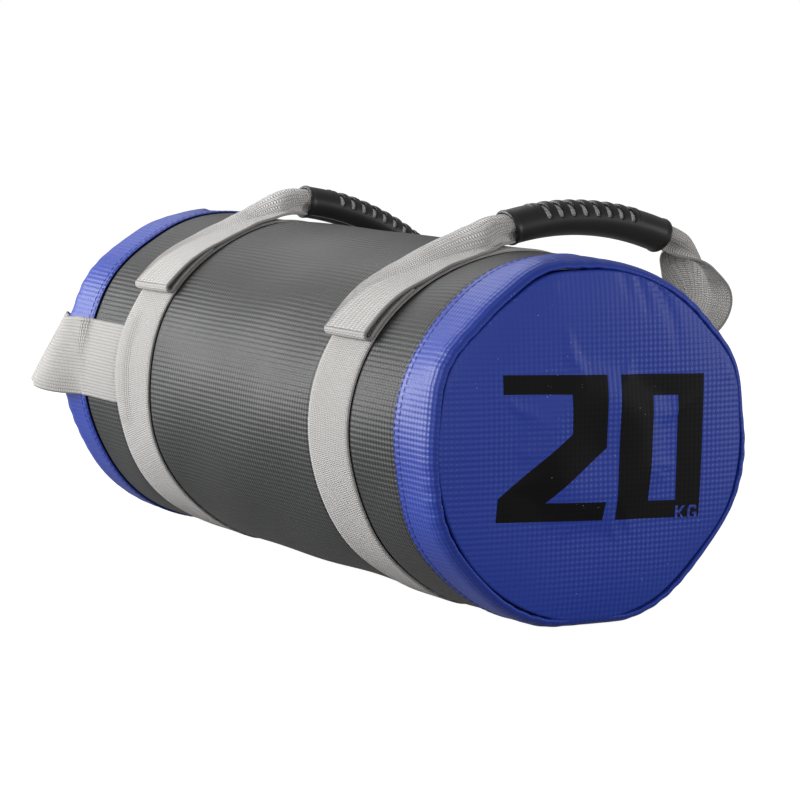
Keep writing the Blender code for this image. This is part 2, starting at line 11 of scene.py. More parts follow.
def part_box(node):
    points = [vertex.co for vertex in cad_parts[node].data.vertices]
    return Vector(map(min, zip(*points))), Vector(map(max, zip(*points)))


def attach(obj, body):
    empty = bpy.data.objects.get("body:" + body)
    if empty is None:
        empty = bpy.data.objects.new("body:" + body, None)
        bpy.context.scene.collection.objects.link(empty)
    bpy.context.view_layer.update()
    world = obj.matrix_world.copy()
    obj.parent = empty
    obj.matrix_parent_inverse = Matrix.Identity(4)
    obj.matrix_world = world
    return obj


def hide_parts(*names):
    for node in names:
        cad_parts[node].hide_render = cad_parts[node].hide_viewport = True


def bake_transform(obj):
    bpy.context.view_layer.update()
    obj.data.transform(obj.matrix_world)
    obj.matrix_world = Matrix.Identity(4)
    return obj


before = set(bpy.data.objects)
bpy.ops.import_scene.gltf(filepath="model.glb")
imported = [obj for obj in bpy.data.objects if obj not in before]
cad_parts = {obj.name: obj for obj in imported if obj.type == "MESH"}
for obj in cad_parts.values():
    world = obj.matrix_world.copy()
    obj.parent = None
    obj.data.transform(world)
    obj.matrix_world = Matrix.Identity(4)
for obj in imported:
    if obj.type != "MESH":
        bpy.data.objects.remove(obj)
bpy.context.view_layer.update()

MM = 0.001
END_NAMES = {1: "near", -1: "far"}
WHITE = (1, 1, 1, 1)

# Sizes that the frame gives
hoop_low, hoop_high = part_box("near_hoop")
band_low, band_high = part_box("near_end_band")
bag_radius = hoop_high.y
axis_height = hoop_high.z - bag_radius
hoop_inner, hoop_outer = hoop_low.x, hoop_high.x
hoop_middle = (hoop_inner + hoop_outer) / 2
web_width = hoop_outer - hoop_inner
band_edge = band_low.x
seam_x = band_high.x
disc_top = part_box("near_end_disc")[1].x
tuck_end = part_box("end_strap_front_tab")[1].x
strap_far = -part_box("end_strap_loop")[0].x

# Camera
camera_yaw = 28.31
camera_pitch = 6.41
camera_roll = 0.405
camera_distance = 2.036
camera_shift_right = -0.0069
camera_shift_up = 0.0001
camera_lens = 154.98
sensor_width = 36

# Lamps: name, place, power and width
LAMPS = (
    ("key", (-1.75, -1.75, 0.7), 102, 1.7),
    ("top", (-1.7, 0.1, 1.7), 15, 1.4),
    ("side", (1.5, 1.9, 0.4), 18, 1.0),
    ("front", (1.0, -2.1, 0.7), 8, 0.8),
    ("disc", (2.4, -0.45, 0.55), 11, 0.7),
)

# World and floor
ambient = 0.24
background_gloss = 0.2
floor_grey = 0.25
floor_glow = 0.96
floor_half = 12.0

# Rows and columns of the meshes
cover_rows, cover_columns = 200, 240
foam_rows, foam_columns = 80, 120
band_rows, band_columns = 34, 400
disc_rows, disc_columns = 36, 256
lining_rows = 10
upper_rows, lower_rows, hoop_columns = 17, 9, 300
curve_steps = 24
bow_steps = 721
oval_steps = 64
grip_rings = 140
tab_rows = 46

# Cover and seams
cover_depth = 1.0 * MM
under_depth = 2.0 * MM
cover_inside = 2.8 * MM
foam_outside = 3.1 * MM
foam_inside = 11.0 * MM
cover_end = seam_x - 13 * MM
edge_ease = 3 * MM
band_wall = 1.0 * MM
shoulder_length = 12 * MM
shoulder_drop = 4.6 * MM
seam_depth = 5.6 * MM
seam_rim = bag_radius - seam_depth - 0.25 * MM
allowance_x = seam_x - 7.5 * MM
disc_wall = 1.2 * MM
dome_power = 5
disc_slack = 0.004
disc_pressure = 1.2
disc_stiffness = 8
disc_most = 6 * MM
disc_frames = 24
stitch_rows = (1.6 * MM, 6.0 * MM)
groove_depth = 0.25 * MM
groove_half = 0.9 * MM
hem_round = 1.0 * MM
hem_drop = 0.5 * MM
hem_puff = 0.25 * MM
puff_half = 2.2 * MM
pucker_height = 0.22 * MM
pucker_count = 61
floor_ease = 0.7 * MM

# Lapped join of each end band: angle at its hem, slant to its seam, reach of its swell, drop and height
join_angle = 99
join_slant = 10
join_swell = 24
join_drop = 3.2
join_height = 1.8 * MM

# Stitches
stitch_count = 148
stitch_length = 3.3 * MM
thread_width = 0.7 * MM

# Webbing
web_thickness = 1.6 * MM
hoop_pinch = 0.6 * MM
tail_length = 36 * MM
fold_radius = 2.4 * MM
near_fold_angle = 147.8
far_fold_angle = 144.0
skin_gap = 0.15 * MM
tail_steps = 36
web_steps = (10, 5, 26)
station_step = 1.5 * MM
web_foot = 3 * MM
fold_step = 9
core_stations = 58
join_stations = 5
join_overlap = 0.2 * MM
# The front leg's roll runs through the grip to this far from its end, where the back leg takes over
join_depth = 3 * MM
# Where a front leg leaves the skin and closes to the core's size: start and length, as shares of its route
loosening = (0.7, 0.25)
closing = (0.82, 0.18)
# Reach from a handle's fold along its heading, worked out in the front leg and not used further
fold_bend = 25 * MM

# End strap: angle of its sewn ends, form of its bow, and its lean, bulge and sag past the creases
strap_angle = 173.7
strap_power = 3.0
strap_gap = 0.5 * MM
strap_lean = 27
strap_turn = 45 * MM
strap_bulge = 6 * MM
bulge_place = 32 * MM
strap_droop = 14 * MM
droop_start = 84 * MM
droop_length = 60 * MM
strap_wave = 1.2 * MM
strap_cup = 0.06
# The far hoop is lifted over the strap's ends for this many degrees, and comes down over the next few
tuck_reach = 17
tuck_fall = 5

# Moulded grips
grip_length = 103 * MM
grip_bend_radius = 165 * MM
core_half_width = 11.0 * MM
core_half_height = 7.9 * MM
core_clearance = 0.25 * MM
grip_wall = 1.65 * MM
grip_rim = 0.5 * MM
slot_count = 8
slot_pitch = 7.75 * MM
slot_width = 3.0 * MM
slot_floor = 1.6 * MM
slot_shift = -2.5 * MM
rim_place, rim_half = 1.0 * MM, 2.4 * MM
mouth_ease, mouth_round = 0.5 * MM, 0.8 * MM
slotted_rise = 0.35 * MM
slotted_wave = 0.25 * MM
ring_place, ring_half = 1.6 * MM, 1.3 * MM
ring_height = 0.7 * MM
grip_voxel = 0.5 * MM
core_half_size = np.array([core_half_width, core_half_height])

# Print on the near end
print_turn = math.radians(1.95)
ink_lift = 0.10 * MM
ink_thickness = 0.08 * MM
digit_square = 2.5 * MM
unit_square = 1.5 * MM

# Slack of the filled skin
wave_count = 14
wave_height = 0.34 * MM
fullness_start = 6 * MM
fullness_spread = 1.6
end_sink = 0.4 * MM
# Lumps of the filled skin: place along the bag, angle, reach along it, reach round it, height
LUMPS = (
    (156, 118, 50, 42, -2.6),
    (-150, 118, 60, 30, -1.0),
    (60, 215, 70, 35, 0.8),
    (-70, 190, 60, 30, -0.7),
    (10, 165, 50, 25, 0.6),
    (190, 200, 30, 25, 0.6),
    (-190, 140, 30, 20, 0.8),
)
# Fullness of each end at its seam: angle, reach round it, height
NEAR_FULLNESS = ((24, 12, 3.2), (108, 10, 2.2), (152, 12, 3.2), (192, 8, -0.5), (316, 16, -3.0))
FAR_FULLNESS = ((140, 14, 2.4), (168, 9, 1.6), (100, 12, -1.2), (205, 14, -1.0), (20, 16, 1.5))
# Tucks of each disc: angle at the seam, turn for each mm inward, half width, depth, reach
DISC_TUCKS = ((79.5, 0.3, 3.4, 0.7, 18), (73.5, 0.45, 3.2, 1.1, 24), (66.0, 0.9, 6.0, 1.2, 32))


def smooth(t):
    """Soft step from 0 to 1."""
    t = np.clip(t, 0, 1)
    return t * t * (3 - 2 * t)


def hill(distance, reach):
    """A soft hill of height 1 that ends at a reach."""
    return 0.5 + 0.5 * np.cos(np.pi * np.clip(np.abs(distance) / reach, 0, 1))


def angle_between(angle, middle):
    """Signed difference of two angles in degrees."""
    return (np.asarray(angle) - middle + 180) % 360 - 180


def volume(points, faces):
    """Signed volume inside a closed mesh of triangles and squares."""
    total = 0.0
    for face in faces:
        a, b, c = points[face[:, 0]], points[face[:, 1]], points[face[:, 2]]
        total += np.einsum("ij,ij->", a, np.cross(b, c))
        if face.shape[1] == 4:
            d = points[face[:, 3]]
            total += np.einsum("ij,ij->", a, np.cross(c, d))
    return total / 6


def linked(name, data):
    """A new object in the scene."""
    made = bpy.data.objects.new(name, data)
    bpy.context.scene.collection.objects.link(made)
    return made


def new_piece(name, points, faces, flat_points, flat_faces=0):
    """A smooth-shaded piece from points, groups of faces and their flat places, its last faces flat."""
    points = np.asarray(points, float).reshape(-1, 3)
    turned = volume(points, faces) < 0
    corners, flat = ([part[:, ::-1] if turned else part for part in parts] for parts in (faces, flat_points))
    mesh = bpy.data.meshes.new(name)
    mesh.from_pydata(points.tolist(), [], [face for part in corners for face in part.tolist()])
    layer = mesh.uv_layers.new(name="UVMap")
    layer.data.foreach_set("uv", np.concatenate([part.reshape(-1, 2) for part in flat]).ravel())
    mesh.shade_smooth()
    if flat_faces:
        total = len(mesh.polygons)
        mesh.polygons.foreach_set("use_smooth", np.arange(total) < total - flat_faces)
    return linked(name, mesh)


def grid_faces(rows, columns, closed=False):
    """Squares of a grid whose columns run round: rows and columns of their corners, and the corners."""
    row, column = np.meshgrid(np.arange(rows if closed else rows - 1), np.arange(columns), indexing="ij")
    row, column = row.ravel(), column.ravel()
    row = np.stack([row, row + 1, row + 1, row], 1)
    column = np.stack([column, column, column + 1, column + 1], 1)
    return row, column, row % rows * columns + column % columns


def cap_faces(tip, columns, first=0):
    """Triangles from a tip to a ring of corners."""
    ring = np.arange(columns)
    return np.stack([np.full(columns, tip), first + ring, first + (ring + 1) % columns], 1)


def tube_piece(name, grid, along, angles):
    """A closed ring of skin: a closed profile (rows) carried round the bag (columns)."""
    rows, columns = grid.shape[:2]
    row, column, faces = grid_faces(rows, columns, closed=True)
    along = np.append(along, along[0])
    around = np.radians(angles) * bag_radius
    around = np.append(around, around[0] + (around[1] - around[0]) * columns)
    return new_piece(name, grid, [faces], [np.stack([along[row], around[column]], -1)])


def skin_waves():
    """Slack of the filled skin: height, count round the bag, count along it and phase of each wave."""
    chance = np.random.default_rng(20)
    waves = []
    for _ in range(wave_count):
        round_count = chance.integers(1, 12)
        along_count = chance.uniform(6, 60)
        height = wave_height / (1 + 0.12 * round_count)
        waves.append((height, round_count, along_count, chance.uniform(0, 2 * np.pi)))
    return waves


WAVES = skin_waves()


def end_fullness(x, angle):
    """How far a full end stands out towards its seam."""
    lift = np.zeros(np.broadcast(x, angle).shape)
    for table, side in ((NEAR_FULLNESS, 1), (FAR_FULLNESS, -1)):
        towards = smooth((side * x - (band_edge - fullness_start)) / (seam_x - band_edge))
        around = sum(height * MM * hill(angle_between(angle, middle), fullness_spread * reach)
                     for middle, reach, height in table)
        lift = lift + towards * (around - end_sink)
    return lift


def skin_lift(x, angle):
    """How far the skin stands out of a true cylinder."""
    x, angle = np.asarray(x, float), np.asarray(angle, float)
    turn = np.radians(angle)
    lift = end_fullness(x, angle)
    for height, round_count, along_count, phase in WAVES:
        lift = lift + height * np.cos(round_count * turn + along_count * x + phase)
    for middle, around, reach, spread, height in LUMPS:
        lift = lift + (height * MM * hill(x - middle * MM, reach * MM)
                       * hill(angle_between(angle, around), spread))
    pinch = hill(np.abs(x) - hoop_middle, web_width * 0.9)
    return lift - hoop_pinch * pinch


def bag_points(x, angle, depth):
    """Points at a depth below the skin, pressed flat on the floor."""
    x, angle, depth = np.broadcast_arrays(np.asarray(x, float), np.asarray(angle, float), depth)
    radius = bag_radius + skin_lift(x, angle) - depth
    turn = np.radians(angle)
    above = axis_height + radius * np.sin(turn) - depth
    above = 0.5 * (above + np.sqrt(above ** 2 + floor_ease ** 2))
    return np.stack([x, radius * np.cos(turn), np.maximum(above + depth, 0)], -1)


def round_angles(steps):
    """Angles round the bag from its foot."""
    return -90 + 360 * np.arange(steps) / steps


def path_lengths(points):
    """Length along a path up to each of its points."""
    return np.concatenate([[0], np.cumsum(np.linalg.norm(np.diff(points, axis=0), axis=-1))])


def round_directions(angles):
    """Directions out of the bag's axis at angles in degrees."""
    turn = np.radians(angles)
    return np.stack([0 * turn, np.cos(turn), np.sin(turn)], -1)


def turned_piece(name, profile, steps, lift=None):
    """A closed profile of (x, depth) turned round the bag."""
    profile = np.asarray(profile, float)
    x, depth = profile[:, :1], profile[:, 1:]
    angles = round_angles(steps)
    if lift:
        depth = depth - lift(x, angles)
    return tube_piece(name, bag_points(x, angles, depth), path_lengths(profile), angles)


def make_cover():
    """Cover tube: open skin that dips under the hoops and the end bands."""
    x = np.linspace(-cover_end, cover_end, cover_rows)
    far = np.abs(x)
    under_hoop = smooth((far - hoop_inner + edge_ease) / edge_ease)
    under_hoop = under_hoop * smooth((hoop_outer + edge_ease - far) / edge_ease)
    under_band = smooth((far - band_edge + edge_ease) / edge_ease)
    depth = cover_depth + (under_depth - cover_depth) * np.maximum(under_hoop, under_band)
    inside = [(x_in, cover_inside) for x_in in np.linspace(cover_end, -cover_end, 16)]
    return turned_piece("cover_skin", [*zip(x, depth), *inside], cover_columns)


def make_foam():
    """Foam sleeve: its outside follows the cover, its inside stays round."""
    x = np.linspace(-cover_end, cover_end, foam_rows)[:, None]
    angles = round_angles(foam_columns)
    outside = bag_points(x, angles, foam_outside)
    inside = bag_points(x[::-1], angles, foam_inside + skin_lift(x[::-1], angles))
    grid = np.concatenate([outside, inside])
    return tube_piece("foam_sleeve", grid, path_lengths(grid[:, 0]), angles)


def shoulder(turns, wall):
    """Arc of an end band's rolled shoulder, at a wall's depth inside it."""
    turns = np.radians(turns)
    return zip(seam_x - shoulder_length + (shoulder_length - wall) * np.sin(turns),
               wall + (shoulder_drop - wall) * (1 - np.cos(turns)))


def band_profile():
    """Closed profile of an end band: hem, stitched grooves, rolled shoulder, turned seam and back."""
    profile = []
    for x in np.linspace(0, seam_x - shoulder_length - band_edge, band_rows):
        hem = hem_drop * (1 - math.sqrt(min(1, x / hem_round)))
        groove = sum(groove_depth * hill(x - row, groove_half) for row in stitch_rows)
        puff = hem_puff * hill(x - sum(stitch_rows) / 2, puff_half)
        profile.append((band_edge + x, hem + groove - puff))
    profile += shoulder(np.linspace(0, 82, 12)[1:], 0)
    profile += [(seam_x - 0.1 * MM, 4.6 * MM), (seam_x - 0.4 * MM, 5.1 * MM), (seam_x - 1.2 * MM, 5.45 * MM),
                (seam_x - 3 * MM, seam_depth), (allowance_x, seam_depth),
                (allowance_x, seam_depth - band_wall), (seam_x - 2.8 * MM, seam_depth - band_wall)]
    profile += shoulder(np.linspace(70, 0, 6), band_wall)
    profile += [(band_edge + 12 * MM, band_wall), (band_edge + 0.3 * MM, band_wall)]
    return np.array(profile)


def seam_puckers(x, angle):
    """Small gathers of the band where it is sewn to the disc."""
    near_seam = smooth((np.abs(x) - (seam_x - 16 * MM)) / (12 * MM))
    turn = np.radians(angle)
    return pucker_height * near_seam * np.cos(turn * pucker_count) * (0.5 + 0.5 * np.cos(turn * 7 + 1))


def band_join(x, angle):
    """Lapped join of the band, slanted across it: it swells up to the lap and drops at its edge."""
    along = (np.abs(x) - band_edge) / (seam_x - band_edge)
    off = angle_between(angle, join_angle - join_slant * along)
    lap = np.where(off >= 0, smooth(1 - off / join_swell), smooth(1 + off / join_drop))
    return join_height * lap * smooth((along - 0.15) / 0.35) * (1 - smooth((along - 0.55) / 0.38))


def band_shape(x, angle):
    """Gathers and join of an end band."""
    return seam_puckers(x, angle) + band_join(x, angle)


def make_band(side):
    """End band, sewn over the cover's edge."""
    return turned_piece(f"{END_NAMES[side]}_band_skin", band_profile() * [side, 1], band_columns, band_shape)


def filled_sheet(sheet, side):
    """Rows of a disc's outer face, pushed out by the filling in a cloth simulation that holds its rim."""
    rows, columns = sheet.shape[:2]
    tip = sheet[0].mean(0)
    corners = [*grid_faces(rows, columns)[2][:, ::-1].tolist(), *cap_faces(rows * columns, columns).tolist()]
    if side < 0:
        corners = [corner[::-1] for corner in corners]
    mesh = bpy.data.meshes.new("sheet")
    mesh.from_pydata([*sheet.reshape(-1, 3).tolist(), tip.tolist()], [], corners)
    cloth = linked("sheet", mesh)
    rim = cloth.vertex_groups.new(name="rim")
    rim.add(list(range((rows - 2) * columns, rows * columns)), 1.0, "REPLACE")
    step = cloth.modifiers.new("filling", "CLOTH")
    step.collision_settings.use_collision = False
    step.point_cache.frame_start, step.point_cache.frame_end = 1, disc_frames
    settings = step.settings
    settings.quality = 6
    settings.mass = 0.35
    settings.tension_stiffness = settings.compression_stiffness = 30
    settings.shear_stiffness = 15
    settings.bending_stiffness = disc_stiffness
    settings.vertex_group_mass = "rim"
    settings.shrink_min = -disc_slack
    settings.use_pressure = True
    settings.uniform_pressure_force = disc_pressure
    settings.effector_weights.gravity = 0
    scene = bpy.context.scene
    scene.frame_start, scene.frame_end = 1, disc_frames
    for frame_number in range(1, disc_frames + 1):
        scene.frame_set(frame_number)
    graph = bpy.context.evaluated_depsgraph_get()
    shape = cloth.evaluated_get(graph).to_mesh()
    places = np.zeros(len(shape.vertices) * 3)
    shape.vertices.foreach_get("co", places)
    bpy.data.objects.remove(cloth)
    scene.frame_set(1)
    moved = places.reshape(-1, 3)[:-1].reshape(sheet.shape) - sheet
    moved[..., 0] = side * np.maximum(side * moved[..., 0], 0)
    even = smooth((np.linalg.norm((sheet - tip)[..., 1:], axis=-1) / seam_rim - 0.15) / 0.55)[..., None]
    moved = moved * even + moved.mean(1)[:, None] * (1 - even)
    far = np.linalg.norm(moved, axis=-1)[..., None] + 1e-9
    return sheet + moved * np.tanh(far / disc_most) * disc_most / far


def disc_tucks(sheet, side):
    """Depth of the soft tucks that run in from the seam near the top of a disc."""
    y, z = sheet[..., 1], sheet[..., 2] - axis_height
    angle, inward = np.degrees(np.arctan2(z, y)), seam_rim - np.hypot(y, z)
    depth = np.zeros(y.shape)
    for start, turn, half_width, height, reach in DISC_TUCKS:
        across = angle_between(angle, start - turn * inward / MM)
        fade = smooth(inward / (2.5 * MM)) * (1 - smooth(inward / (reach * MM)))
        depth += height * MM * hill(across, half_width) * fade
    return depth * side


def make_disc(side):
    """End disc: a slack dome sewn to the band."""
    angles = round_angles(disc_columns)
    dome = disc_top - seam_x
    rim = seam_rim - 0.7 * MM
    radii = np.append(np.linspace(0.02, 0.97, disc_rows), [0.985, 0.993]) * seam_rim
    outer_x = seam_x + dome * (1 - (np.minimum(radii, rim) / rim) ** dome_power)
    shares = np.linspace(0.95, 0.02, lining_rows)
    inner_x = seam_x + dome * (1 - shares ** dome_power) - disc_wall
    profile = np.array([
        *zip(outer_x, radii), (seam_x - 0.5 * MM, seam_rim - 0.25 * MM), (seam_x - 1.5 * MM, seam_rim),
        (allowance_x, seam_rim), (allowance_x, seam_rim - disc_wall),
        (seam_x - 2 * MM, seam_rim - disc_wall - 0.2 * MM), *zip(inner_x, shares * rim)])
    radius = profile[:, 1:] + end_fullness(side * seam_x, angles) * (profile[:, 1:] / seam_rim) ** 3
    grid = radius[..., None] * round_directions(angles) + [0, 0, axis_height]
    grid[..., 0] = side * profile[:, :1]
    rows, columns = grid.shape[:2]
    faces = grid_faces(rows, columns)[2][:, ::-1]
    flat = grid.reshape(-1, 3)[faces][..., 1:]
    sheet = filled_sheet(grid[:len(radii)], side)
    sheet[..., 0] -= disc_tucks(sheet, side)
    grid[:len(radii)] = sheet
    lining = [np.argmin(np.abs(radii - inner)) for inner in shares * rim]
    grid[rows - lining_rows:] = grid[lining] - [side * disc_wall, 0, 0]
    points = grid.reshape(-1, 3)
    count = len(points)
    caps = np.concatenate([cap_faces(count, columns)[:, ::-1],
                           cap_faces(count + 1, columns, count - columns)[:, [1, 2, 0]]])
    points = np.concatenate([points, [points[:columns].mean(0), points[-columns:].mean(0)]])
    return new_piece(f"{END_NAMES[side]}_disc_skin", points, [faces, caps], [flat, points[caps][..., 1:]])


def web_line(ledge, rise, sweep, flatness, gather=1.0):
    """Middle line across the webbing from its +X edge, and the outward direction at each point.

    A ledge lies flat, a foot turns up by the rise, and an oval arch turns back down to the sweep, the more
    of it towards its far edge the larger the gather.
    """
    ledge_steps, foot_steps, arch_steps = web_steps
    rise, sweep = math.radians(rise), math.radians(sweep)
    foot = min(web_foot, max(web_width - ledge, 0) * 0.3 / max(rise, 0.05))
    turns = [0.0] * ledge_steps
    steps = [ledge / ledge_steps] * ledge_steps
    for k in range(foot_steps):
        turns.append(rise * (k + 0.5) / foot_steps)
        steps.append(foot * rise / foot_steps)
    arch = web_width - ledge - foot * rise
    turn = rise - (rise + sweep) * ((np.arange(arch_steps) + 0.5) / arch_steps) ** gather
    bend = (flatness ** 2 * np.cos(turn) ** 2 + np.sin(turn) ** 2) ** -1.5
    turns = np.concatenate([turns, turn])
    steps = np.concatenate([steps, arch * bend / bend.sum()])
    points = np.cumsum(np.stack([-np.cos(turns) * steps, np.sin(turns) * steps], -1), 0)
    points = np.concatenate([[[0, 0]], points])
    at_corner = np.concatenate([[turns[0]], (turns[1:] + turns[:-1]) / 2, [turns[-1]]])
    outward = np.stack([np.sin(at_corner), np.cos(at_corner)], -1)
    return points, outward


def web_ring(points, outward):
    """Closed section of webbing round its middle line, with rounded edges."""
    half = web_thickness / 2
    first, last = (edge + (edge - inner) / np.linalg.norm(edge - inner) * half * 0.8
                   for edge, inner in ((points[0], points[1]), (points[-1], points[-2])))
    return np.concatenate([[first], points + outward * half, [last], (points - outward * half)[::-1]])


# Webbing that lies flat: its middle line centred, its section, and how far across each point is
flat_line, flat_outward = web_line(web_width * 0.4, 0.01, 0.01, 1.0)
flat_line = flat_line + [web_width / 2, 0]
flat_section = web_ring(flat_line, flat_outward)
web_places = flat_line[:, 0]


def web_piece(name, rings, lengths):
    """A strip of webbing from its sections, capped at both ends, with the weave's own coordinates."""
    rings = np.asarray(rings)
    rows, columns = rings.shape[:2]
    row, column, faces = grid_faces(rows, columns)
    across = np.concatenate([web_places[:1], web_places, web_places[-1:], web_places[::-1], web_places[:1]])
    flat = np.stack([lengths[row], across[column]], -1)
    half = (columns - 2) // 2
    upper = np.arange(1, half)
    lower = columns - upper
    caps, tips = [], []
    for base, flip in ((0, False), ((rows - 1) * columns, True)):
        squares = np.stack([upper, upper + 1, lower - 1, lower], 1) + base
        ends = np.array([[0, 1, columns - 1], [half, half + 1, half + 2]]) + base
        caps.append(squares[:, ::-1] if flip else squares)
        tips.append(ends[:, ::-1] if flip else ends)
    caps, tips = np.concatenate(caps), np.concatenate(tips)
    edge = flat[0, 0]
    return new_piece(name, rings, [faces[:, ::-1], caps[:, ::-1], tips[:, ::-1]],
                     [flat[:, ::-1], *(np.broadcast_to(edge, (*part.shape, 2)) for part in (caps, tips))],
                     len(caps) + len(tips))


def read_table(table, place):
    """Read rows of (place, value, ...), averaged over a short stretch so that they flow into each other."""
    table = np.asarray(table, float)
    near = np.clip(place + np.linspace(-0.04, 0.04, 9), 0, 1)
    return np.array([np.interp(near, table[:, 0], column).mean() for column in table[:, 1:].T])


def spline(points):
    """Evenly spaced points on a smooth curve through the points given."""
    points = np.asarray(points, float)
    ends = np.concatenate([[points[0] * 2 - points[1]], points, [points[-1] * 2 - points[-2]]])
    fine = []
    for a, b, c, d in zip(ends, ends[1:], ends[2:], ends[3:]):
        t = np.linspace(0, 1, curve_steps, endpoint=False)[:, None]
        fine.append(0.5 * (2 * b + (c - a) * t + (2 * a - 5 * b + 4 * c - d) * t ** 2
                           + (3 * b - a - 3 * c + d) * t ** 3))
    fine = np.concatenate([*fine, [points[-1]]])
    lengths = path_lengths(fine)
    count = max(2, round(lengths[-1] / station_step) + 1)
    wanted = np.linspace(0, lengths[-1], count)
    return np.stack([np.interp(wanted, lengths, column) for column in fine.T], -1)


def heading_at(turn):
    """Unit direction at a turn in radians."""
    return np.array([math.cos(turn), math.sin(turn)])


def left_of(heading):
    """Direction a quarter turn on from a heading."""
    return np.array([-heading[1], heading[0]])


class Handle:
    """Sizes and routes of one handle, in the plane of its hoop: y and height above the bag's axis."""

    def __init__(self, side, fold_angle, mouth, angle):
        self.name = END_NAMES[side]
        self.x = side * hoop_middle
        self.fold_angle = fold_angle
        self.fold_out = heading_at(math.radians(fold_angle))
        self.mouth = np.array(mouth) * bag_radius
        self.angle = math.radians(angle)

    def on_bag(self, angle, height):
        """A point of the hoop's plane at a height above the hoop."""
        radius = bag_radius + float(skin_lift(self.x, angle)) + height
        return radius * heading_at(math.radians(angle))

    def grip_frame(self, distance):
        """Point, heading and up direction on the grip's bent centre line."""
        heading = heading_at(self.angle - distance / grip_bend_radius)
        up = left_of(heading)
        return self.mouth + (up - left_of(heading_at(self.angle))) * grip_bend_radius, heading, up

    def fold_route(self, turn):
        """Mid line of the sewn tail on the front of the hoop and of its fold, up to a turn."""
        height = skin_gap + web_thickness / 2
        first = self.fold_angle - math.degrees(tail_length / bag_radius)
        route = [self.on_bag(angle, height) for angle in np.linspace(first, self.fold_angle, tail_steps)]
        out, along = self.fold_out, left_of(self.fold_out)
        centre = route[-1] + out * fold_radius
        for angle in np.radians(np.linspace(0, turn, max(3, round(turn / fold_step)))[1:]):
            route.append(centre + fold_radius * (along * math.sin(angle) - out * math.cos(angle)))
        end = math.radians(turn)
        return np.array(route), along * math.cos(end) + out * math.sin(end)

    def place(self, section, point, heading, twist=0.0):
        """A section (across, up) carried to a point, turned to its heading and twisted."""
        up = left_of(heading / np.linalg.norm(heading))
        cosine, sine = heading_at(math.radians(twist))
        across, high = section.T
        across, high = across * cosine - high * sine, across * sine + high * cosine
        y, z = point[0] + up[0] * high, axis_height + point[1] + up[1] * high
        return np.stack([self.x + across, y, z], -1)

    def in_bag(self, point):
        """A point of the hoop's plane as a place on the bag."""
        return np.array([self.x, point[0], axis_height + point[1]])


NEAR = Handle(1, near_fold_angle, (0.11, 1.087), 14.1)
FAR = Handle(-1, far_fold_angle, (0.172, 1.099), -7.3)


def route_headings(route, first=None, last=None):
    """Direction of a route at each of its points."""
    headings = np.gradient(route, axis=0)
    headings /= np.linalg.norm(headings, axis=1)[:, None]
    if first is not None:
        headings[0] = first
    if last is not None:
        headings[-1] = last
    return headings


def settled(handle, points, share):
    """Points of a leg carried up and down with the skin under them, by a share."""
    y, z = points[:, 1], points[:, 2] - axis_height
    angle = np.degrees(np.arctan2(z, y))
    radius = np.hypot(y, z)
    lift = share * (skin_lift(points[:, 0], angle) - skin_lift(handle.x, angle))
    return points + np.stack([0 * y, y * lift / radius, z * lift / radius], -1)


def flat_rings(handle, route, headings):
    """Sections of flat webbing along a route, carried up and down with the skin."""
    return [settled(handle, handle.place(flat_section, point, heading), 1)
            for point, heading in zip(route, headings)]


def make_tail(handle, place, turn):
    """Sewn end of a handle: flat on the hoop, then its fold up to a turn."""
    route, last = handle.fold_route(turn)
    if not turn:
        route = route[:tail_steps]
    rings = np.array(flat_rings(handle, route, route_headings(route, last=last)))
    if place == "back":
        rings[..., 1] *= -1
    piece = web_piece(f"{handle.name}_{place}_tail_webbing", rings, path_lengths(route))
    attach(piece, "bag")
    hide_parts(f"{handle.name}_handle_{place}_tail")
    return piece


# Front legs: place along the near and the far one, flat ledge in mm, rise, sweep, flatness, gather, and
# reach in mm of the +X edge of the near and the far one
FRONT_ROLL = np.array((
    (0.00, 0.00, 47.0, 0.05, 0.05, 0.8, 1.0, 24.0, 24.0),
    (0.34, 0.45, 34.0, 0.5, 0.5, 0.8, 2.0, 24.0, 24.0),
    (0.46, 0.56, 24.0, 5, 9, 0.8, 2.0, 24.0, 24.0),
    (0.55, 0.64, 19.0, 12, 37, 0.62, 2.4, 24.0, 24.0),
    (0.63, 0.71, 16.5, 18, 89, 0.5, 2.4, 24.0, 24.0),
    (0.69, 0.77, 13.5, 27, 112, 0.6, 2.2, 24.0, 23.5),
    (0.77, 0.83, 6.0, 34, 120, 0.6, 1.85, 23.0, 22.0),
    (0.85, 0.89, 1.0, 82, 136, 0.5, 1.1, 19.0, 18.5),
    (0.92, 0.94, 0.3, 120, 155, 0.52, 1.05, 14.0, 14.0),
    (1.00, 1.00, 0.3, 165, 174, 0.55, 1.0, 10.9, 10.9),
))
NEAR_ROLL = FRONT_ROLL[:, [0, 2, 3, 4, 5, 6, 7]]
FAR_ROLL = FRONT_ROLL[:, [1, 2, 3, 4, 5, 6, 8]]
# Back legs: place along them, flat ledge in mm, rise, sweep, flatness
BACK_ROLL = (
    (0.00, 0.3, 165, 174, 0.6),
    (0.10, 0.5, 160, 170, 0.5),
    (0.22, 6.0, 70, 95, 0.35),
    (0.40, 14.0, 16, 22, 0.6),
    (0.70, 16.0, 3, 4, 0.8),
    (1.00, 16.0, 1, 1, 0.8),
)
# Lowest line of the front legs up to their grips: angle on the hoop, and height above it in mm
NEAR_CONTACT = ((141, 4.3), (136, 3.9), (131, 3.1), (127, 2.0), (123, 0.9), (118, 0.25), (110, 0.1),
                (101, 0.1), (93, 0.4))
FAR_CONTACT = ((139, 4.2), (134, 3.7), (129, 2.8), (124, 1.8), (119, 0.7), (113, 0.3), (106, 0.3),
               (98, 1.2), (91, 3.4))
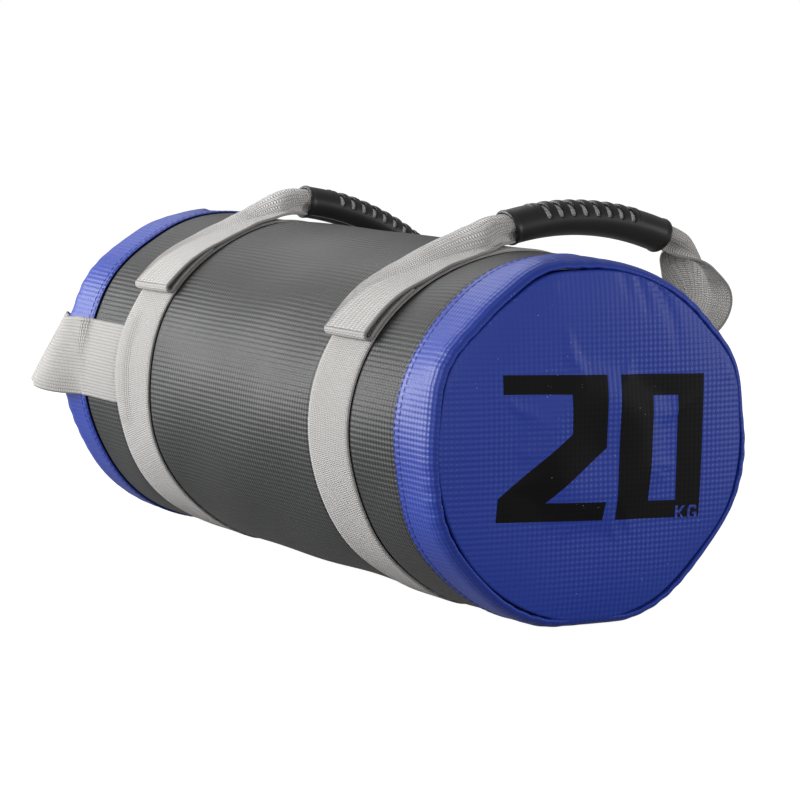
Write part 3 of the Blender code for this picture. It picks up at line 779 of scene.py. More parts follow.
# Bow of the back legs from their grips to their folds, in mm in the handle's plane
NEAR_BOW = ((122, 97), (130, 89), (137, 77), (140, 66), (136, 57), (126, 50), (112, 47), (100, 48))
FAR_BOW = ((122, 56), (132, 45), (136, 32), (131, 22), (120, 18), (108, 25), (98, 38))


def fitted(ring, share):
    """A rolled section eased to the core's size and centred across, by a share."""
    low, high = ring.min(0), ring.max(0)
    scale = core_half_size * 2 / (high - low)
    ring = low + (ring - low) * (1 + (scale - 1) * share)
    ring[:, 0] -= (ring[:, 0].min() + ring[:, 0].max()) / 2 * share
    return ring


def rolled_ring(row):
    """Section of a front leg that rolls up, its lowest point at height 0."""
    ledge, rise, sweep, flatness, gather, reach = row
    points, outward = web_line(ledge * MM, rise, sweep, flatness, gather)
    ring = web_ring(points, outward)
    ring[:, 0] += reach * MM - points[:, 0].max()
    ring[:, 1] -= ring[:, 1].min()
    return ring


def make_front_leg(handle, table, contact):
    """Fold, front leg and rolled core: turns over on the hoop, rolls up and runs through the grip."""
    sewn, heading = handle.fold_route(180)
    fold = sewn[tail_steps - 1:]
    under = fold[-1] - handle.fold_out * web_thickness / 2
    inside = []
    for distance in np.linspace(0, grip_length - join_depth, core_stations):
        point, _, up = handle.grip_frame(distance)
        inside.append(point - up * core_half_height)
    leg = spline([under, *(handle.on_bag(angle, height * MM) for angle, height in contact), inside[0]])
    route = np.concatenate([leg, inside[1:]])
    rings = flat_rings(handle, fold[:-1], route_headings(fold))
    for k, (point, direction) in enumerate(zip(route, route_headings(route, first=heading))):
        place = min(1.0, k / (len(leg) - 1))
        ring = fitted(rolled_ring(read_table(table, place)), float(smooth((place - closing[0]) / closing[1])))
        loose = float(smooth((place - loosening[0]) / loosening[1]))
        rings.append(settled(handle, handle.place(ring, point, direction), 1 - loose))
    lengths = tail_length + path_lengths(np.concatenate([fold[:-1], route]))
    piece = web_piece(f"{handle.name}_front_webbing", rings, lengths)
    start = handle.in_bag(fold[-1])
    tuple(start + fold_bend * np.append(0, heading))
    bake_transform(piece)
    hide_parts(f"{handle.name}_handle_front_leg", f"{handle.name}_handle_core")
    return piece


def make_back_leg(handle, turn, bow, twist):
    """Back leg: runs out of the grip, flattens, twists and bows down into the back fold."""
    fold, fold_heading = handle.fold_route(turn)
    root = fold[-1] * [-1, 1]
    end = handle.grip_frame(grip_length)[0]
    outside = spline([end, *(np.array(point) * MM for point in bow), root])
    join = np.linspace(grip_length - join_depth + join_overlap, grip_length, join_stations)[:-1]
    route = np.concatenate([[handle.grip_frame(distance)[0] for distance in join], outside])
    rings = []
    for k, (point, direction) in enumerate(zip(route, route_headings(route, last=fold_heading * [1, -1]))):
        place = max(0.0, (k - len(join)) / (len(outside) - 1))
        ledge, *form = read_table(BACK_ROLL, place)
        ring = fitted(web_ring(*web_line(ledge * MM, *form)), 1 - float(smooth(place / 0.15)))
        ring -= (ring.min(0) + ring.max(0)) / 2
        turned = twist * float(smooth(place / 0.45) - smooth((place - 0.55) / 0.4))
        rings.append(handle.place(ring, point, direction, turned))
    piece = web_piece(f"{handle.name}_back_webbing", rings, path_lengths(route))
    root, mouth = handle.in_bag(root), handle.in_bag(end)
    tuple(root)
    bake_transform(piece)
    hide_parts(f"{handle.name}_handle_back_leg")
    return piece


def oval(half_width, half_height, crown):
    """An oval section (across, up) whose upper half stands higher by a crown."""
    angle = 2 * np.pi * np.arange(oval_steps) / oval_steps
    rise = half_height + crown * smooth(np.sin(angle) * 3)
    return np.stack([half_width * np.cos(angle), rise * np.sin(angle)], -1)


def bridged(maker, rings):
    """Add a closed solid through rings of corners."""
    loops = [[maker.verts.new(corner) for corner in ring] for ring in rings]
    maker.faces.new(loops[0])
    maker.faces.new(loops[-1][::-1])
    for first, second in zip(loops, loops[1:]):
        for k in range(len(first)):
            j = (k + 1) % len(first)
            maker.faces.new((first[k], second[k], second[j], first[j]))


def solid(name, maker):
    """An object from a closed bmesh."""
    bmesh.ops.recalc_face_normals(maker, faces=maker.faces)
    mesh = bpy.data.meshes.new(name)
    maker.to_mesh(mesh)
    maker.free()
    return linked(name, mesh)


def sleeve(handle, name, stations):
    """A closed sleeve bent along the grip's centre line, from (distance, half width, half height, crown)."""
    rings = []
    for distance, *form in stations:
        point, heading, _ = handle.grip_frame(distance)
        rings.append(handle.place(oval(*form), point, heading))
    maker = bmesh.new()
    bridged(maker, rings)
    return solid(name, maker)


def slot_solid(handle):
    """Round-ended slots across the upper half of the grip."""
    maker = bmesh.new()
    half = slot_width / 2
    reach = core_half_width + 12 * MM
    profile = [(-half, reach), (-half, slot_floor + half)]
    profile += [(-half * math.cos(turn), slot_floor + half - half * math.sin(turn))
                for turn in np.radians(np.arange(15, 180, 15))]
    profile += [(half, slot_floor + half), (half, reach)]
    for k in range(slot_count):
        middle = grip_length / 2 + slot_shift + slot_pitch * (k - (slot_count - 1) / 2)
        point, heading, up = handle.grip_frame(middle)
        ends = [[(handle.x + x, *(point + heading * a + up * b + [0, axis_height])) for a, b in profile]
                for x in (-reach, reach)]
        bridged(maker, ends)
    return solid("slots", maker)


def grip_stations():
    """Outside of the grip: smooth collars with a thin rim, and the raised slotted part between two rings."""
    stations = []
    base_width, base_height = core_half_size + core_clearance + grip_wall
    middle = grip_length / 2 + slot_shift
    slots = slot_pitch * slot_count / 2
    for distance in np.linspace(0, grip_length, grip_rings):
        to_mouth = min(distance, grip_length - distance)
        rim = grip_rim * float(hill(to_mouth - rim_place, rim_half))
        rim -= mouth_ease * (1 - math.sqrt(min(1, to_mouth / mouth_round)))
        off = abs(distance - middle)
        raised = slotted_rise * float(smooth((slots + 0.5 * MM - off) / (1.5 * MM)))
        if off < slots:
            raised += slotted_wave * math.cos(2 * math.pi * off / slot_pitch)
        raised += ring_height * float(hill(off - slots - ring_place, ring_half))
        stations.append((distance, base_width + rim, base_height + rim, raised))
    return stations


def apply_modifiers(piece):
    """Bake a piece's modifiers into its mesh."""
    bpy.context.view_layer.update()
    graph = bpy.context.evaluated_depsgraph_get()
    mesh = bpy.data.meshes.new_from_object(piece.evaluated_get(graph))
    old = piece.data
    piece.modifiers.clear()
    piece.data = mesh
    mesh.name = piece.name
    bpy.data.meshes.remove(old)


def make_grip(handle):
    """Moulded grip: slots and bore cut out of a sleeve, then its edges softened."""
    body = sleeve(handle, f"{handle.name}_rubber_grip", grip_stations())
    bore = [(distance, *(core_half_size + core_clearance), 0)
            for distance in np.linspace(-2 * MM, grip_length + 2 * MM, 40)]
    cutters = [sleeve(handle, "bore", bore), slot_solid(handle)]
    for cutter in cutters:
        step = body.modifiers.new(cutter.name, "BOOLEAN")
        step.operation = "DIFFERENCE"
        step.solver = "EXACT"
        step.object = cutter
    remesh = body.modifiers.new("remesh", "REMESH")
    remesh.mode = "VOXEL"
    remesh.voxel_size = grip_voxel
    soften = body.modifiers.new("soften", "SMOOTH")
    soften.factor = 0.5
    soften.iterations = 4
    apply_modifiers(body)
    for cutter in cutters:
        bpy.data.objects.remove(cutter)
    body.data.shade_smooth()
    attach(body, f"{handle.name}_handle")
    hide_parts(f"{handle.name}_grip")
    return body


def over_tucks(x, angle):
    """How far the far hoop is lifted over the end strap's tucked ends."""
    far = np.abs(x)
    tucked = smooth((hoop_outer + 2 * MM - far) / (8 * MM))
    tucked = tucked * smooth((far - abs(tuck_end) + 3 * MM) / (6 * MM))
    around = sum(smooth((tuck_reach + tuck_fall - np.abs(angle_between(angle, middle))) / tuck_fall)
                 for middle in (strap_angle, 180 - strap_angle))
    return web_thickness * tucked * around


def make_hoop(side):
    """Webbing hoop sewn round the cover."""
    half, edge = web_thickness / 2, 0.1 * MM
    inner, outer = hoop_inner + edge, hoop_outer - edge

    def rounding(x):
        """How far a face of the hoop gives way towards its edges."""
        return half * 0.5 * (1 - smooth(np.minimum(x - inner, outer - x) / (1.0 * MM)))

    upper, lower = np.linspace(inner, outer, upper_rows), np.linspace(outer, inner, lower_rows)
    profile = np.array([*zip(upper, rounding(upper)), (outer + edge, half),
                        *zip(lower, web_thickness - rounding(lower)), (inner - edge, half)])
    name = f"{END_NAMES[side]}_hoop"
    lift = over_tucks if side < 0 else None
    piece = turned_piece(name + "_webbing", profile * [side, 1], hoop_columns, lift)
    layer = piece.data.uv_layers[0].data
    coords = np.zeros(len(layer) * 2)
    layer.foreach_get("uv", coords)
    layer.foreach_set("uv", coords.reshape(-1, 2)[:, ::-1].ravel())
    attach(piece, "bag")
    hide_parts(name)
    return piece


def strap_plan(turn):
    """Plan of the end strap's bow, from the front crease (0) to the back (180)."""
    half = bag_radius + strap_gap + web_thickness / 2
    power = 2 / strap_power
    cosine, sine = heading_at(math.radians(turn))
    reach = strap_far - band_edge
    return np.array([-band_edge - reach * abs(sine) ** power,
                     -half * math.copysign(abs(cosine) ** power, cosine)])


def strap_tabs(angles):
    """Middle lines across the strap's front end, from under the far hoop to the crease at the band."""
    for x in np.linspace(tuck_end, -band_edge + 0.5 * MM, tab_rows):
        under = smooth((x + hoop_outer + 3 * MM) / (4 * MM))
        over_band = smooth((-x - band_edge + 5 * MM) / (4 * MM))
        lift = skin_gap - web_thickness * under - (1 - over_band) * (1 - under) * (cover_depth - skin_gap)
        yield bag_points(x, angles, -(lift + web_thickness / 2))


def make_end_strap():
    """End strap: tucked under the far hoop at both sides, creased at the band and bowed round the end."""
    fine = np.array([strap_plan(turn) for turn in np.linspace(0, 180, bow_steps)])
    lengths = path_lengths(fine)
    wanted = np.linspace(0, lengths[-1], round(lengths[-1] / station_step))
    plan = np.stack([np.interp(wanted, lengths, column) for column in fine.T], -1)
    crease_height = axis_height + bag_radius * math.sin(math.radians(strap_angle))
    angles = strap_angle - np.degrees(web_places / bag_radius)
    tabs, out = [*strap_tabs(angles)], round_directions(angles)
    rings = [web_ring(points, out) for points in tabs]
    for k in range(2, len(plan) - 2):
        along = plan[k + 1] - plan[k - 1]
        out_flat = left_of(along / np.linalg.norm(along))
        distance = min(wanted[k], wanted[-1] - wanted[k])
        ease = float(smooth(distance / strap_turn))
        cosine, sine = heading_at(math.radians(strap_lean) * ease)
        wide = np.array([*(-out_flat * sine), cosine])
        thick = np.array([*(out_flat * cosine), sine])
        bulge = strap_bulge * float(hill(distance - bulge_place, bulge_place))
        droop = strap_droop * float(smooth((distance - droop_start) / droop_length))
        centre = np.array([*(plan[k] + out_flat * bulge), crease_height - droop])
        cup = (1 - ease) + strap_cup
        curve = -cup * (web_places ** 2) / (2 * bag_radius)
        wave = strap_wave * math.sin(wanted[k] * 55 + 1.0) * ease * smooth(web_places / web_width + 0.5)
        points = centre + wide * web_places[:, None] + thick * (curve + wave)[:, None]
        slope = (web_places / bag_radius) * cup
        rings.append(web_ring(points, thick * np.cos(slope)[:, None] + wide * np.sin(slope)[:, None]))
    rings += [web_ring(points * [1, -1, 1], out * [1, -1, 1]) for points in tabs[::-1]]
    piece = web_piece("end_strap_webbing", rings, path_lengths(np.mean(rings, 1)))
    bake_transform(piece)
    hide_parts("end_strap_front_tab", "end_strap_front_leg", "end_strap_loop", "end_strap_back_leg",
                "end_strap_back_tab")
    return piece


# Outlines of the print, in mm from the middle of the near disc
TWO = ((-58.5, 38.7), (3.5, 38.7), (4.5, 0.0), (-31.0, -28.8), (5.0, -28.8), (4.0, -38.7), (-59.5, -38.7),
       (-59.0, -26.2), (-17.0, 7.6), (-17.8, 28.5), (-58.0, 28.5))
ZERO_OUT = ((12.4, 38.7), (66.0, 38.7), (66.6, -38.7), (12.2, -38.7))
ZERO_IN = ((33.2, 27.4), (49.6, 27.4), (50.6, -29.2), (33.0, -29.2))
UNIT_K = (((50.8, -32.4), (52.4, -32.4), (52.4, -39.9), (50.8, -39.9)),
          ((52.4, -35.6), (55.4, -32.4), (57.3, -32.4), (53.4, -36.7)),
          ((53.4, -35.9), (54.7, -36.9), (57.6, -39.9), (55.5, -39.9)))
UNIT_G = (((59.0, -33.8), (60.2, -32.3), (60.9, -33.6), (60.6, -34.4)),
          ((60.2, -32.3), (63.9, -32.3), (63.2, -33.7), (60.9, -33.7)),
          ((63.9, -32.3), (65.3, -33.8), (63.8, -34.6), (63.2, -33.7)),
          ((59.0, -33.8), (60.6, -34.4), (60.6, -38.0), (59.0, -38.6)),
          ((59.0, -38.6), (60.6, -38.0), (61.1, -38.6), (60.4, -40.0)),
          ((60.4, -40.0), (61.1, -38.6), (63.3, -38.6), (63.9, -40.0)),
          ((63.9, -40.0), (63.3, -38.6), (63.8, -38.0), (65.3, -38.6)),
          ((65.3, -38.6), (63.8, -38.0), (63.8, -37.3), (65.3, -37.3)),
          ((62.3, -37.4), (65.3, -37.4), (65.3, -36.1), (62.3, -36.1)))


def print_point(corner):
    """A corner of the print, turned as it sits on the disc."""
    u, w = corner
    return (u * math.cos(print_turn) + w * math.sin(print_turn)) * MM, \
           (-u * math.sin(print_turn) + w * math.cos(print_turn)) * MM


def draped(name, outlines, disc, lift, square):
    """Thin print from flat outlines, cut into small squares and laid on the disc."""
    maker = bmesh.new()
    for outline in outlines:
        maker.faces.new([maker.verts.new((0, *print_point(corner))) for corner in outline])
    bmesh.ops.remove_doubles(maker, verts=maker.verts, dist=1e-6)
    bmesh.ops.triangulate(maker, faces=maker.faces)
    for normal in ((0, 1, 0), (0, 0, 1)):
        for k in range(-30, 31):
            bmesh.ops.bisect_plane(maker, geom=maker.verts[:] + maker.edges[:] + maker.faces[:],
                                   plane_co=Vector(normal) * (k * square), plane_no=normal, dist=1e-7)
    bmesh.ops.remove_doubles(maker, verts=maker.verts, dist=1e-6)
    bmesh.ops.triangulate(maker, faces=maker.faces)
    bmesh.ops.recalc_face_normals(maker, faces=maker.faces)
    tree = BVHTree.FromPolygons([vert.co for vert in disc.data.vertices],
                                [tuple(face.vertices) for face in disc.data.polygons])
    for vert in maker.verts:
        start = Vector((1, vert.co.y, axis_height + vert.co.z))
        hit = tree.ray_cast(start, Vector((-1, 0, 0)))[0]
        vert.co = hit + Vector((lift, 0, 0))
    for face in maker.faces:
        if face.normal.x < 0:
            face.normal_flip()
    maker.normal_update()
    top = maker.faces[:]
    made = bmesh.ops.extrude_face_region(maker, geom=top)
    for item in made["geom"]:
        if isinstance(item, bmesh.types.BMVert):
            item.co.x += ink_thickness
    bmesh.ops.reverse_faces(maker, faces=top)
    bmesh.ops.recalc_face_normals(maker, faces=maker.faces)
    layer = maker.loops.layers.uv.new("UVMap")
    for face in maker.faces:
        for loop in face.loops:
            loop[layer].uv = (loop.vert.co.y, loop.vert.co.z)
    piece = solid(name, maker)
    piece.data.shade_smooth()
    piece.data.set_sharp_from_angle(angle=math.radians(40))
    return piece


def zero_outlines():
    """The zero's ring as four pieces."""
    count = len(ZERO_OUT)
    return [(ZERO_OUT[k], ZERO_OUT[(k + 1) % count], ZERO_IN[(k + 1) % count], ZERO_IN[k])
            for k in range(count)]


def add_node(tree, kind, inputs=(), **settings):
    """A new node with its settings, each input fed from a socket or given a plain value."""
    node = tree.nodes.new(kind)
    for key, value in settings.items():
        setattr(node, key, value)
    for key, value in dict(inputs).items():
        if isinstance(value, bpy.types.NodeSocket):
            tree.links.new(value, node.inputs[key])
        else:
            node.inputs[key].default_value = value
    return node


def stitch_tree(material):
    """Geometry Nodes that lay one thread on every point, along its seam, and their sizes by identifier."""
    tree = bpy.data.node_groups.new("stitches", "GeometryNodeTree")
    sizes = {}
    tree.interface.new_socket(name="Geometry", in_out="INPUT", socket_type="NodeSocketGeometry")
    for name, size in (("stitch length", stitch_length), ("thread width", thread_width)):
        item = tree.interface.new_socket(name=name, in_out="INPUT", socket_type="NodeSocketFloat")
        sizes[item.identifier] = size
    tree.interface.new_socket(name="Geometry", in_out="OUTPUT", socket_type="NodeSocketGeometry")
    enter = tree.nodes.new("NodeGroupInput").outputs
    along, out = (add_node(tree, "GeometryNodeInputNamedAttribute", {"Name": name}, data_type="FLOAT_VECTOR")
                  for name in ("along", "out"))
    turn = add_node(tree, "FunctionNodeAxesToRotation",
                    {"Primary Axis": along.outputs["Attribute"], "Secondary Axis": out.outputs["Attribute"]},
                    primary_axis="X", secondary_axis="Z")
    width = enter["thread width"]
    size = add_node(tree, "ShaderNodeCombineXYZ", {"X": enter["stitch length"], "Y": width, "Z": width})
    thread = add_node(tree, "GeometryNodeMeshUVSphere", {"Segments": 8, "Rings": 6, "Radius": 0.5})
    spread = add_node(tree, "GeometryNodeInstanceOnPoints",
                      {"Points": enter["Geometry"], "Instance": thread.outputs["Mesh"],
                       "Rotation": turn.outputs["Rotation"], "Scale": size.outputs["Vector"]})
    real = add_node(tree, "GeometryNodeRealizeInstances", {"Geometry": spread.outputs["Instances"]})
    dyed = add_node(tree, "GeometryNodeSetMaterial",
                    {"Geometry": real.outputs["Geometry"], "Material": material})
    add_node(tree, "NodeGroupOutput", {"Geometry": dyed.outputs["Geometry"]})
    return tree, sizes


def band_stitches(side, tree, sizes):
    """Double row of stitches round an end band's hem, as one plain mesh."""
    places, angles = [], []
    for row, shift in zip(stitch_rows, (0.0, 0.5)):
        angles.append(-90 + 360 * (np.arange(stitch_count) + shift) / stitch_count)
        places += bag_points(side * (band_edge + row), angles[-1], groove_depth * 0.55).tolist()
    angles = np.concatenate(angles)
    name = f"{END_NAMES[side]}_band_stitches"
    mesh = bpy.data.meshes.new(name + "_points")
    mesh.from_pydata(places, [], [])
    for key, values in (("along", round_directions(angles + 90)), ("out", round_directions(angles))):
        attribute = mesh.attributes.new(key, "FLOAT_VECTOR", "POINT")
        attribute.data.foreach_set("vector", values.astype(np.float32).ravel())
    piece = linked(name, mesh)
    step = piece.modifiers.new("stitches", "NODES")
    step.node_group = tree
    for identifier, size in sizes.items():
        step[identifier] = size
    apply_modifiers(piece)
    piece.data.shade_smooth()
    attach(piece, "bag")
    return piece


def new_group(name, outputs, inputs):
    """An empty shader node group with a vector input, other inputs with their values, and outputs."""
    tree = bpy.data.node_groups.new(name, "ShaderNodeTree")
    tree.interface.new_socket(name="Vector", in_out="INPUT", socket_type="NodeSocketVector")
    for label, value in inputs.items():
        item = tree.interface.new_socket(name=label, in_out="INPUT", socket_type="NodeSocketFloat")
        item.default_value = value
    for label in outputs:
        tree.interface.new_socket(name=label, in_out="OUTPUT", socket_type="NodeSocketFloat")
    return tree, tree.nodes.new("NodeGroupInput").outputs, tree.nodes.new("NodeGroupOutput").inputs


def maths(tree, operation, *values):
    """A Math node on sockets or plain numbers."""
    return add_node(tree, "ShaderNodeMath", dict(enumerate(values)), operation=operation).outputs[0]


def clamped(tree, value):
    """A value held between 0 and 1."""
    return maths(tree, "MINIMUM", maths(tree, "MAXIMUM", value, 0.0), 1.0)


def emboss_group():
    """Height of the PVC's square emboss."""
    tree, enter, leave = new_group("emboss", ["Height"], {"Pitch": 2.95 * MM})
    split = add_node(tree, "ShaderNodeSeparateXYZ", {0: enter["Vector"]}).outputs
    turns = maths(tree, "DIVIDE", 2 * math.pi, enter["Pitch"])
    waves = [maths(tree, "COSINE", maths(tree, "MULTIPLY", split[axis], turns)) for axis in "XY"]
    diamonds = maths(tree, "MULTIPLY_ADD", maths(tree, "ADD", *waves), 0.42, 0.5)
    tree.links.new(clamped(tree, diamonds), leave["Height"])
    return tree


def weave_group():
    """Height of the webbing's ribs and columns, and painted shade for the grooves between them."""
    tree, enter, leave = new_group("weave", ["Height", "Groove Shade"],
                                   {"Rib Pitch": 1.22 * MM, "Column Pitch": 2.0 * MM})
    split = add_node(tree, "ShaderNodeSeparateXYZ", {0: enter["Vector"]}).outputs
    column = maths(tree, "DIVIDE", split["Y"], enter["Column Pitch"])
    rib = maths(tree, "DIVIDE", split["X"], enter["Rib Pitch"])
    rib = maths(tree, "MULTIPLY_ADD", maths(tree, "PINGPONG", column, 1.0), 0.5, rib)
    rib_wave = maths(tree, "COSINE", maths(tree, "MULTIPLY", rib, 2 * math.pi))
    rib_wave = maths(tree, "MULTIPLY_ADD", rib_wave, 0.5, 0.5)
    column_wave = maths(tree, "ABSOLUTE", maths(tree, "SINE", maths(tree, "MULTIPLY", column, math.pi)))
    column_wave = maths(tree, "POWER", column_wave, 0.4)
    height = maths(tree, "MULTIPLY", maths(tree, "MULTIPLY_ADD", rib_wave, 0.75, 0.25), column_wave)
    tree.links.new(height, leave["Height"])
    # The grooves as a mask of painted shade, standing in for the shade the ribs cast
    tree.links.new(maths(tree, "SUBTRACT", 1.0, height), leave["Groove Shade"])
    return tree


def mottle_group():
    """Soft unevenness of a surface at a scale."""
    tree, enter, leave = new_group("mottle", ["Value"], {"Scale": 20.0})
    noise = add_node(tree, "ShaderNodeTexNoise",
                     {"Detail": 4, "Vector": enter["Vector"], "Scale": enter["Scale"]})
    tree.links.new(noise.outputs["Fac"], leave["Value"])
    return tree


def dust_group():
    """Mask of scattered light specks."""
    tree, enter, leave = new_group("dust", ["Mask"], {"Scale": 260.0, "Size": 0.1})
    cells = add_node(tree, "ShaderNodeTexVoronoi",
                     {"Vector": enter["Vector"], "Scale": enter["Scale"]}).outputs
    near = maths(tree, "LESS_THAN", cells["Distance"], enter["Size"])
    chance = add_node(tree, "ShaderNodeSeparateColor", {0: cells["Color"]}).outputs
    cloud = add_node(tree, "ShaderNodeTexNoise", {"Scale": 24.0, "Vector": enter["Vector"]})
    share = maths(tree, "MULTIPLY_ADD", cloud.outputs["Fac"], -1.6, 1.72)
    bright = maths(tree, "MULTIPLY", maths(tree, "GREATER_THAN", chance["Red"], share), chance["Green"])
    tree.links.new(maths(tree, "MULTIPLY", near, bright), leave["Mask"])
    return tree


GROUPS = {"emboss": emboss_group(), "weave": weave_group(), "mottle": mottle_group(), "dust": dust_group()}


def placed(tree, group, vector, **values):
    """Outputs of a shared group, put into a material with its own values."""
    return add_node(tree, "ShaderNodeGroup", {"Vector": vector, **values}, node_tree=GROUPS[group]).outputs


def mottled(tree, where, scale):
    """Unevenness of a material at a scale."""
    return placed(tree, "mottle", where["Object"], Scale=scale)["Value"]


def new_material(name, roughness, specular, sheen=0.0):
    """A material, its tree, the inputs of its Principled shader, and its coordinates."""
    material = bpy.data.materials.new(name)
    material.use_nodes = True
    tree = material.node_tree
    shader = tree.nodes["Principled BSDF"].inputs
    for key, value in (("Roughness", roughness), ("Specular IOR Level", specular), ("Sheen Weight", sheen),
                       ("Sheen Roughness", 0.5)):
        shader[key].default_value = value
    return material, tree, shader, tree.nodes.new("ShaderNodeTexCoord").outputs


def tinted(tree, low, high, share):
    """Mix two colours by a socket."""
    low, high = ((*colour, 1) if isinstance(colour, tuple) else colour for colour in (low, high))
    return add_node(tree, "ShaderNodeMix", {0: share, 6: low, 7: high}, data_type="RGBA").outputs[2]


def bumped(tree, shader, *layers):
    """Chain of bumps of (height socket, distance in metres, strength)."""
    normal = {}
    for height, distance, strength in layers:
        bump = add_node(tree, "ShaderNodeBump",
                        {"Height": height, "Distance": distance, "Strength": strength, **normal})
        normal = {"Normal": bump.outputs["Normal"]}
    tree.links.new(normal["Normal"], shader["Normal"])


def ranged(tree, value, low, high):
    """A 0 to 1 value stretched between two numbers."""
    return maths(tree, "MULTIPLY_ADD", value, high - low, low)


def pvc_material(name, low, high, roughness, emboss, specular, least):
    """Embossed PVC cloth, its emboss pressed down in places to the least share of its height."""
    material, tree, shader, where = new_material(name, roughness, specular)
    uneven = mottled(tree, where, 14.0)
    dust = placed(tree, "dust", where["Object"], Scale=420.0, Size=0.09)["Mask"]
    colour = tinted(tree, tinted(tree, low, high, uneven), (0.6, 0.6, 0.62), dust)
    tree.links.new(colour, shader["Base Color"])
    tree.links.new(ranged(tree, uneven, roughness - 0.05, roughness + 0.08), shader["Roughness"])
    pressed = clamped(tree, ranged(tree, mottled(tree, where, 8.0), -1.4, 2.9))
    raised = maths(tree, "MULTIPLY", placed(tree, "emboss", where["UV"])["Height"],
                   ranged(tree, pressed, least, 1.0))
    bumped(tree, shader, (raised, emboss, 1.0), (mottled(tree, where, 900.0), 0.02 * MM, 1.0))
    return material


def webbing_material():
    """Light grey woven webbing, with painted shade that darkens the grooves of its weave."""
    material, tree, shader, where = new_material("grey_webbing", 0.85, specular=0.25, sheen=0.25)
    weave = placed(tree, "weave", where["UV"])
    colour = tinted(tree, (0.72, 0.70, 0.68), (0.80, 0.78, 0.76), mottled(tree, where, 30.0))
    # Painted shade: the weave's grooves are darkened in the colour
    colour = tinted(tree, colour, (0.2, 0.19, 0.185), maths(tree, "MULTIPLY", weave["Groove Shade"], 0.8))
    tree.links.new(colour, shader["Base Color"])
    bumped(tree, shader, (weave["Height"], 0.8 * MM, 1.0), (mottled(tree, where, 2400.0), 0.05 * MM, 0.8))
    return material


def rubber_material():
    """Moulded black rubber with a fine grain."""
    material, tree, shader, where = new_material("grip_rubber", 0.4, 0.35)
    uneven = mottled(tree, where, 60.0)
    dust = placed(tree, "dust", where["Object"], Scale=700.0, Size=0.08)["Mask"]
    colour = tinted(tree, (0.010, 0.010, 0.011), (0.016, 0.016, 0.017), uneven)
    colour = tinted(tree, colour, (0.3, 0.3, 0.3), maths(tree, "MULTIPLY", dust, 0.5))
    tree.links.new(colour, shader["Base Color"])
    tree.links.new(ranged(tree, uneven, 0.34, 0.5), shader["Roughness"])
    bumped(tree, shader, (mottled(tree, where, 1500.0), 0.04 * MM, 1.0))
    return material


def plain_material(name, low, high, roughness, scale, depth):
    """Uneven matte finish of a hidden filling or a thread."""
    material, tree, shader, where = new_material(name, roughness, specular=0.3)
    uneven = mottled(tree, where, scale)
    tree.links.new(tinted(tree, low, high, uneven), shader["Base Color"])
    tree.links.new(ranged(tree, uneven, roughness - 0.05, min(1.0, roughness + 0.05)), shader["Roughness"])
    bumped(tree, shader, (uneven, depth, 1.0))
    return material


def paint(piece, material):
    """Give a piece its finish."""
    piece.data.materials.clear()
    piece.data.materials.append(material)


def add_camera():
    """Camera at the photograph's place and angle."""
    yaw, pitch, roll = (math.radians(value) for value in (camera_yaw, camera_pitch, camera_roll))
    look = Vector((-math.cos(yaw) * math.cos(pitch), math.sin(yaw) * math.cos(pitch), -math.sin(pitch)))
    right = look.cross(Vector((0, 0, 1))).normalized()
    up = right.cross(look)
    place = -(camera_shift_right * right + camera_shift_up * up + look) * camera_distance
    place += Vector((0, 0, axis_height))
    right, up = right * math.cos(roll) + up * math.sin(roll), up * math.cos(roll) - right * math.sin(roll)
    data = bpy.data.cameras.new("camera")
    data.lens = camera_lens
    data.sensor_width = sensor_width
    data.clip_start = 0.05
    camera = linked("camera", data)
    camera.matrix_world = Matrix((
        (right.x, up.x, -look.x, place.x), (right.y, up.y, -look.y, place.y),
        (right.z, up.z, -look.z, place.z), (0, 0, 0, 1)))
    bpy.context.scene.camera = camera


def add_lamp(name, place, power, width):
    """A large soft lamp that looks at the middle of the bag."""
    data = bpy.data.lights.new(name, "AREA")
    data.energy = power
    data.shape = "DISK"
    data.size = width
    lamp = linked(name, data)
    lamp.location = place
    lamp.rotation_euler = (Vector((0, 0, axis_height)) - Vector(place)).to_track_quat("-Z", "Y").to_euler()


def seen_white(tree):
    """How far a ray meets plain white: a camera or transmission ray in full, a glossy ray in part."""
    path = tree.nodes.new("ShaderNodeLightPath").outputs
    seen = maths(tree, "MAXIMUM", path["Is Camera Ray"], path["Is Transmission Ray"])
    return maths(tree, "MAXIMUM", seen, maths(tree, "MULTIPLY", path["Is Glossy Ray"], background_gloss))


def add_world():
    """Even soft light from all round, white to the camera."""
    world = bpy.data.worlds.new("studio")
    world.use_nodes = True
    tree = world.node_tree
    plain = tree.nodes["Background"]
    plain.inputs["Color"].default_value = WHITE
    plain.inputs["Strength"].default_value = ambient
    glow = add_node(tree, "ShaderNodeBackground", {"Color": WHITE, "Strength": 1.0})
    mix = add_node(tree, "ShaderNodeMixShader",
                   {0: seen_white(tree), 1: plain.outputs[0], 2: glow.outputs[0]})
    tree.links.new(mix.outputs[0], tree.nodes["World Output"].inputs["Surface"])
    bpy.context.scene.world = world


